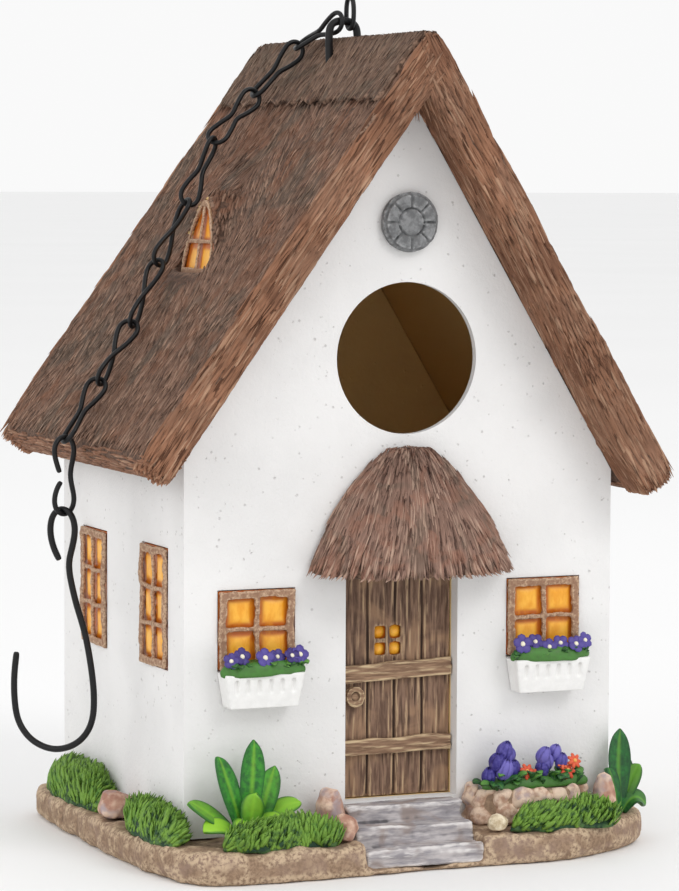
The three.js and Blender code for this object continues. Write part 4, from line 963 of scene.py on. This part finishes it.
def leaf(casting, path, width, thick, tint, fold=0.25):
    """A tongue-shaped leaf along a curve through its root, its middle and its tip."""
    root, middle, tip = (np.array(point, float) for point in path)
    stations, across = 14, 9
    tops, bottoms = [], []
    for step in range(stations):
        t = step / (stations - 1)
        centre = (1 - t) ** 2 * root + 2 * t * (1 - t) * middle + t * t * tip
        ahead = 2 * (1 - t) * (middle - root) + 2 * t * (tip - middle)
        ahead /= np.linalg.norm(ahead)
        side = np.cross(ahead, [0, -0.5, 0.85])
        side /= np.linalg.norm(side)
        up = np.cross(side, ahead)
        widest = 0.58
        if t < widest:
            half = width / 2 * (0.35 + 0.65 * math.sin(math.pi / 2 * t / widest))
        else:
            half = width / 2 * max(1 - ((t - widest) / (1 - widest)) ** 2, 0.004) ** 0.6
        top, bottom = [], []
        for lane in range(across):
            u = 2 * lane / (across - 1) - 1
            lift = fold * half * u * u - RIB_DEPTH * math.cos(u * math.pi * 3) * (1 - abs(u))
            base = centre + side * (u * half) + up * lift
            edge = math.sqrt(max(1 - u * u, 0.02))
            top.append(base + up * thick * 0.5 * edge)
            bottom.append(base - up * thick * 0.5 * edge)
        tops.append(top)
        bottoms.append(bottom)
    places, spans, lanes = [], [], []
    for rows in (tops, bottoms):
        for step, row in enumerate(rows):
            for lane, place in enumerate(row):
                places.append(place)
                spans.append(step / (stations - 1))
                lanes.append(abs(2 * lane / (across - 1) - 1))
    faces = []
    count = stations * across
    for step in range(stations - 1):
        for lane in range(across - 1):
            a = step * across + lane
            b, c, d = a + 1, a + across + 1, a + across
            faces.append((a, b, c, d))
            faces.append((count + a, count + d, count + c, count + b))
        for lane in (0, across - 1):
            a = step * across + lane
            faces.append((a, a + across, count + a + across, count + a))
    for step in (0, stations - 1):
        for lane in range(across - 1):
            a = step * across + lane
            faces.append((a, a + 1, count + a + 1, count + a))
    casting.add(places, faces, span=spans, across=lanes, tint=tint)


def leafy_piece(name, casting, material, node, replaces=True):
    piece = new_piece(name, casting.mesh(name))
    smoother = piece.modifiers.new("round", "SUBSURF")
    smoother.levels = smoother.render_levels = 1
    freeze(piece)
    return finish_piece(piece, material, node, replaces, rounds=4, depth=0.3)


def make_plant(name, node, material, foot, leaves, fold=0.25):
    """A plant from rows of (start, middle, tip, width, tint), with the places measured from its foot."""
    low, _ = box_mm(node)
    root = np.array([*foot, low[2]])
    casting = Casting()
    for start, middle, tip, width, tint in leaves:
        leaf(casting, [root + place for place in (start, middle, tip)], width, LEAF_THICKNESS, tint, fold)
    leafy_piece(name, casting, material, node)


def make_plants():
    make_plant("hosta_leaves", "hosta", HOSTA, (-45.0, -54.6), [
        ((-1, 0, 1), (-4.5, 1.4, 14), (-7.5, 1.2, 21.5), 6.6, 0.25),
        ((0.5, 0.6, 1), (2.2, 2, 15), (2.6, 2.2, 25), 6.4, 0.2),
        ((2, 0, 1), (5.5, 1, 11), (7.6, 0.4, 18.5), 6.0, 0.45),
        ((-2, 0, 1), (-9, 0.4, 7), (-15.2, 0.8, 10.6), 6.4, 0.6),
        ((2, -0.5, 1), (9, 0, 9.5), (14.2, -0.6, 8.6), 6.4, 0.75),
        ((-2, -1, 0), (-7, -2.2, 6.6), (-12.5, -3, 3.8), 6.6, 0.95),
        ((0, -1.4, 0), (-1.2, -3.6, 8), (-2.6, -3.9, 1.0), 7.2, 1.0),
        ((1, -1.2, 0), (5, -3, 8), (8.4, -3.6, 4.2), 6.4, 0.85),
        ((0.2, -0.8, 1), (0.8, -1, 9), (1.6, -2.2, 12.5), 6.0, 0.7),
    ])
    make_plant("corner_leaves", "corner_plant", CORNER_LEAF, (59.6, -50.2), [
        ((0, 0, 1), (-1.6, 0, 12), (0.4, 1, 21.6), 6.4, 0.15),
        ((1, 0.4, 1), (3.4, 1, 9), (6.4, 1, 11.8), 5.0, 0.7),
        ((0.6, -0.6, 0), (3.4, -1.6, 6), (6.2, -1.8, 1.4), 5.6, 0.5),
        ((-1, -0.4, 0), (-3.4, -1.4, 9), (-4.8, -1.6, 12), 5.0, 0.35),
        ((0.4, 1, 0), (2.4, 3.4, 9), (4.0, 5, 14), 5.2, 0.4),
    ], fold=0.5)


def dome(name, low, high, height_share, lumps, seed):
    """A low bank that fills the foot of a box."""
    casting = Casting()
    around, up = 48, 14
    angles = [math.pi * level / up for level in range(up + 1)]
    places, faces = ring_body([ring(math.sin(angle) ** 0.6, -math.cos(angle), around) for angle in angles])
    places = np.array(places)
    middle = (low + high) / 2
    half = (high - low) / 2
    tall = (high[2] - low[2]) * height_share
    places = np.stack([middle[0] + half[0] * places[:, 0], middle[1] + half[1] * places[:, 1],
                       low[2] + tall * places[:, 2]], axis=1)
    places[:, 2] = np.maximum(places[:, 2], low[2] - 0.8)
    casting.add(places, faces)
    mesh = casting.mesh(name)
    places = places_of(mesh)
    move_to(mesh, places + normals_of(mesh) * (lumps * uneven(places, 3.2, seed))[:, None])
    return mesh


def make_grass():
    for number, node in enumerate(("grass_front_left", "grass_left_front", "grass_left_rear", "grass_front_right",
                                   "grass_right")):
        low, high = box_mm(node)
        bank = dome(f"{node}_bank", low + [0.5, 0.5, 0], high - [0.5, 0.5, 0], 0.6, 0.8, number)
        places = places_of(bank)
        normals = normals_of(bank)
        lean = np.zeros_like(places)
        lean[:, 2] = 0.7
        lean[:, 0] = 0.5 + 0.8 * uneven(places, 7, 30 + number)
        lean[:, 1] = 0.8 * uneven(places, 7, 40 + number)
        lean += normals * 0.5
        store(bank, "combing", lean, "FLOAT_VECTOR")
        store(bank, "cover", ramp(places[:, 2], low[2] - 0.5, low[2] + 0.6))
        blades = grown(f"{node}_blades", bank.copy(), COVER, Strand=BLADE, Density=1.8 / MM ** 2, Shortest=2.6 * MM,
                       Longest=4.6 * MM, Width=1.25 * MM, Height=0.6 * MM, Stray=0.25, Seed=50 + number,
                       Material=GRASS)
        finish_piece(blades, GRASS, node, replaces=False, rounds=1, depth=0.15)
        finish_piece(new_piece(f"{node}_mound", bank), GRASS_BANK, node, depth=0.4)


def petal_flower(name, petals, reach, width, cup):
    """A flower that looks along +Z: flat petals about a button, one unit across."""
    casting = Casting()
    angles = [math.pi * level / 5 for level in range(6)]
    unit, faces = ring_body([ring(math.sin(angle), -math.cos(angle), 8) for angle in angles])
    unit = np.array(unit)
    for petal in range(petals):
        turn = 2 * math.pi * petal / petals
        shaped = unit * [reach / 2, width / 2, 0.07]
        shaped[:, 0] += reach / 2
        shaped[:, 2] += cup * shaped[:, 0] ** 2 + 0.03 * (petal % 2)
        span = np.clip(shaped[:, 0] / reach, 0, 1)
        c, s = math.cos(turn), math.sin(turn)
        turned = np.stack([c * shaped[:, 0] - s * shaped[:, 1], s * shaped[:, 0] + c * shaped[:, 1],
                           shaped[:, 2]], axis=1)
        casting.add(turned, faces, span=span * 0.9 + 0.1)
    casting.add(unit * [0.13, 0.13, 0.12] + [0, 0, 0.05], faces, span=0.0)
    casting.places = [tuple(value / MM for value in place) for place in casting.places]
    return helper_shape(casting.mesh(name))


def set_out(name, rows, shape, material, seed, node):
    """Sets a shape at each row of (place, facing, size, spin), in millimetres."""
    mesh = bpy.data.meshes.new(name)
    mesh.from_pydata([tuple(value * MM for value in row[0]) for row in rows], [], [])
    store(mesh, "facing", [row[1] for row in rows], "FLOAT_VECTOR")
    sizes = [row[2] if hasattr(row[2], "__len__") else (row[2],) * 3 for row in rows]
    store(mesh, "size", [[value * MM for value in size] for size in sizes], "FLOAT_VECTOR")
    store(mesh, "spin", [row[3] for row in rows])
    piece = grown(name, mesh, SET_OUT, Shape=shape, Seed=seed, Material=material)
    return finish_piece(piece, material, node, replaces=False, rounds=2, depth=0.15)


def make_pansies():
    flower = petal_flower("pansy_shape", 5, 0.5, 0.5, 0.25)
    random = np.random.default_rng(7)
    for number, side in enumerate(("left", "right")):
        node = f"pansies_{side}"
        low, high = box_mm(node)
        width = high[0] - low[0]
        leaves = Casting()
        for step in range(26):
            share = (step + 0.5) / 26
            x = low[0] + 0.8 + share * (width - 1.6)
            y = low[1] + 1.5 + 2.4 * random.random()
            z = low[2] + 0.6 + 1.4 * random.random()
            turn = random.uniform(math.pi * 1.05, math.pi * 1.95)
            reach = random.uniform(1.6, 2.6)
            tip = (x + reach * math.cos(turn), max(y + reach * math.sin(turn), low[1] - 0.9),
                   z - 0.4 + random.random())
            leaf(leaves, [(x, y, z - 0.6), ((x + tip[0]) / 2, (y + tip[1]) / 2, z + 1.0), tip], 2.0, 0.7,
                 random.random())
        leafy_piece(f"pansy_leaves_{side}", leaves, POSY_LEAF, node, replaces=False)
        heads = [0.12, 0.3, 0.46, 0.62, 0.8, 0.93] if side == "right" else [0.1, 0.24, 0.5, 0.66, 0.82, 0.93]
        rows = []
        for place, share in enumerate(heads):
            rise = 2.6 + 1.5 * random.random()
            rows.append(((low[0] + share * width, low[1] + 1.6 + 0.8 * (place % 2), low[2] + rise),
                         (random.uniform(-0.3, 0.3), -1, random.uniform(0.35, 0.8)), random.uniform(4.4, 5.4),
                         random.uniform(0, 6)))
        set_out(f"pansy_blooms_{side}", rows, flower, PANSY, 60 + number, node)
        bank = dome(f"pansy_bed_{side}", low, high - [0, 0, 0.6], 0.5, 0.5, 70 + number)
        finish_piece(new_piece(f"pansy_bed_{side}", bank), POSY_LEAF, node, depth=0.3)


def stone_shape():
    mesh = bpy.data.meshes.new("stone_shape")
    skin = bmesh.new()
    bmesh.ops.create_icosphere(skin, subdivisions=3, radius=0.5)
    skin.to_mesh(mesh)
    skin.free()
    return helper_shape(mesh)


def tulip_shape():
    """A closed tulip head that stands along +Z, one unit tall: six petals wrapped into an egg."""
    casting = Casting()
    around, up = 6, 7
    for petal in range(6):
        turn = 2 * math.pi * petal / 6
        outer = 1.0 if petal % 2 == 0 else 0.88
        rings = []
        for level in range(up + 1):
            t = level / up
            radius = 0.34 * math.sin(math.pi * (0.12 + 0.8 * t)) * outer
            thick = 0.05
            half = 0.24 * math.sin(math.pi * t) ** 0.7
            petal_ring = []
            for k in range(around):
                angle = 2 * math.pi * k / around
                along = half * math.cos(angle)
                out = radius + thick * math.sin(angle) - 1.2 * along * along
                petal_ring.append((out * math.cos(turn) - along * math.sin(turn),
                                   out * math.sin(turn) + along * math.cos(turn), t))
            rings.append(petal_ring)
        places, faces = ring_body(rings)
        span = [place[2] for place in places]
        casting.add(np.array(places) / MM, faces, span=np.array(span) * 0.8 + 0.2)
    return helper_shape(casting.mesh("tulip_shape"))


def make_planter():
    random = np.random.default_rng(11)
    low, high = box_mm("stone_planter")
    bed, mesh, places, normals = evened_copy("planter_bed", "stone_planter", 0.7, 4)
    move_to(mesh, places + normals * (-0.4 + 0.6 * uneven(places, 4, 4))[:, None])
    finish_piece(bed, EARTH, "stone_planter", depth=0.4)
    middle = (low[0] + high[0]) / 2
    half = (high[0] - low[0]) / 2
    depth = high[1] - low[1]
    rows = []
    for course, (height, count) in enumerate(((2.6, 8), (6.6, 9))):
        for step in range(count):
            angle = math.pi * (step + 0.5 + 0.2 * (random.random() - 0.5)) / count
            x = middle - (half - 1.2) * math.cos(angle)
            y = high[1] - (depth - 1.3) * math.sin(angle)
            facing = (-math.cos(angle) * 0.5, -math.sin(angle), 0.1)
            long = (5.6 + 1.4 * random.random()) * (1.15 if course == 0 else 1.0)
            rows.append(((x, y, low[2] + height), facing, (long, 4.6 + random.random(), 3.4), 0))
    stones = set_out("planter_stones", rows, stone_shape(), PLANTER_STONE, 80, "stone_planter")
    places = places_of(stones.data)
    bumpy = 0.9 * uneven(places, 3, 3) + 0.45 * uneven(places, 1.2, 4)
    move_to(stones.data, places + normals_of(stones.data) * bumpy[:, None])
    store_relief(stones, 5, 0.2)

    low, high = box_mm("planter_flowers")
    leaves = Casting()
    for step in range(52):
        x = low[0] + 1.5 + (high[0] - low[0] - 3) * (step + 0.5) / 52
        y = random.uniform(low[1] + 0.8, high[1] - 1)
        z = low[2] + random.uniform(0.2, 2.8)
        turn = random.uniform(math.pi, 2 * math.pi)
        reach = random.uniform(2.2, 3.8)
        tip = (x + reach * math.cos(turn), max(y + reach * math.sin(turn), low[1] - 0.5),
               z + random.uniform(-0.8, 1.6))
        leaf(leaves, [(x, y, z - 0.8), ((x + tip[0]) / 2, (y + tip[1]) / 2, z + 1.6), tip], random.uniform(2, 3), 0.8,
             random.random())
    leafy_piece("planter_leaves", leaves, POSY_LEAF, "planter_flowers", replaces=False)
    tulip = tulip_shape()
    heads = [(-11.2, 6.8, 5.6), (-9.2, 9.4, 5.8), (-7.0, 8.4, 5.6), (-9.6, 4.6, 6.2), (-6.4, 4.8, 5.6),
             (-12.6, 3.6, 5.0), (1.4, 8.0, 5.2), (3.4, 6.4, 5.4), (5.4, 8.4, 5.0), (6.8, 6.6, 4.6), (2.4, 4.6, 5.2)]
    rows = [((middle + dx, low[1] + 3.2 + 0.5 * (number % 3), low[2] + dz - 3),
             (0.25 * math.sin(number * 2.4), -0.42, 1), size, number * 1.1)
            for number, (dx, dz, size) in enumerate(heads)]
    set_out("planter_tulips", rows, tulip, TULIP, 81, "planter_flowers")
    daisy = petal_flower("daisy_shape", 7, 0.5, 0.26, -0.2)
    heads = [(-3.0, 3.6, 4.6), (-1.2, 2.8, 3.6), (8.4, 3.2, 5.0), (10.4, 5.6, 4.4), (7.2, 5.2, 3.6)]
    rows = [((middle + dx, low[1] + 1.6, low[2] + dz), (0.1 * dx / 6, -1, 0.45), size, number * 0.9)
            for number, (dx, dz, size) in enumerate(heads)]
    set_out("planter_daisies", rows, daisy, DAISY, 82, "planter_flowers")
    bank = dome("planter_soil", low + [0.5, 0.5, 0], high - [0.5, 0.5, 0], 0.2, 0.5, 83)
    finish_piece(new_piece("planter_soil", bank), POSY_LEAF, "planter_flowers", depth=0.3)


# ---- hardware -------------------------------------------------------------------------------


def make_hardware():
    """Every wire as a smooth round rod."""
    nodes = [f"chain_link_{number}" for number in range(1, 10)] + ["s_hook", "hanging_eye", "end_link"]
    for node in nodes:
        wire = merged_copy(f"{node}_wire", node)
        skin = bmesh.new()
        skin.from_mesh(wire.data)
        bmesh.ops.join_triangles(skin, faces=skin.faces, angle_face_threshold=0.7, angle_shape_threshold=1.2)
        skin.to_mesh(wire.data)
        skin.free()
        rounder = wire.modifiers.new("round", "SUBSURF")
        rounder.levels = rounder.render_levels = 2
        freeze(wire)
        places = places_of(wire.data)
        move_to(wire.data, places + normals_of(wire.data) * 0.1)
        finish_piece(wire, STEEL, node, depth=0)
    plug = rounded_copy("plug_body", "clean_out_plug", 0.5)
    sharpen(plug.data, 40)
    finish_piece(plug, RUBBER, "clean_out_plug", depth=0)


# ---- the whole object -----------------------------------------------------------------------

make_walls()
make_roof()
make_ridge()
make_canopy()
worked("rosette_carving", "gable_rosette", 0.25, CARVED_GREY, [(1.5, 0.12), (0.7, 0.06)], 1, 0.25)
make_ground()
make_door()
make_windows()
make_boxes()
make_plants()
make_grass()
make_pansies()
make_planter()
make_hardware()
for helper in HELPERS:
    bpy.data.objects.remove(helper)

# ---- floor, light and camera ----------------------------------------------------------------

floor_mesh = bpy.data.meshes.new("floor")
floor_mesh.from_pydata([(-30, -30, 0), (30, -30, 0), (30, 30, 0), (-30, 30, 0)], [], [(0, 1, 2, 3)])
floor = new_piece("floor", floor_mesh)
floor_paint = Recipe("floor_white", 0.9, 0.1)
floor_mesh.materials.append(floor_paint.colour(
    floor_paint.blend(floor_paint.noise(400, 1.0), paint(246, 246, 246), paint(242, 242, 242))))

scene = bpy.context.scene
scene.view_settings.view_transform = "Standard"
world = bpy.data.worlds.new("studio")
world.use_nodes = True
sky = world.node_tree.nodes["Background"].inputs
sky["Color"].default_value = (1, 1, 1, 1)
sky["Strength"].default_value = 0.95
scene.world = world

AIM = Vector((0, 0, 0.1))


def add_light(name, place, size, power):
    light = bpy.data.lights.new(name, "AREA")
    light.shape = "DISK"
    light.size = size
    light.energy = power
    lamp = bpy.data.objects.new(name, light)
    scene.collection.objects.link(lamp)
    lamp.location = place
    lamp.rotation_euler = (AIM - Vector(place)).to_track_quat("-Z", "Y").to_euler()


add_light("key_light", (0.9, -2.0, 1.9), 1.2, 16)
add_light("side_light", (-2.2, -1.0, 1.2), 1.6, 9)

AZIMUTH, ELEVATION, ROLL = math.radians(-22.79), math.radians(4.28), math.radians(0.23)
DISTANCE, ASIDE, HEIGHT = 0.95006, 0.00199, 0.10079
lens = bpy.data.cameras.new("camera")
lens.lens = 146.72
camera = bpy.data.objects.new("camera", lens)
scene.collection.objects.link(camera)
back = Vector((math.sin(AZIMUTH) * math.cos(ELEVATION), -math.cos(AZIMUTH) * math.cos(ELEVATION), math.sin(ELEVATION)))
right = Vector((math.cos(AZIMUTH), math.sin(AZIMUTH), 0))
target = right * ASIDE + Vector((0, 0, HEIGHT))
camera.location = target + back * DISTANCE
camera.rotation_mode = "QUATERNION"
camera.rotation_quaternion = (-back).to_track_quat("-Z", "Y") @ Quaternion((0, 0, 1), ROLL)
lens.clip_start, lens.clip_end = 0.05, 100
scene.camera = camera
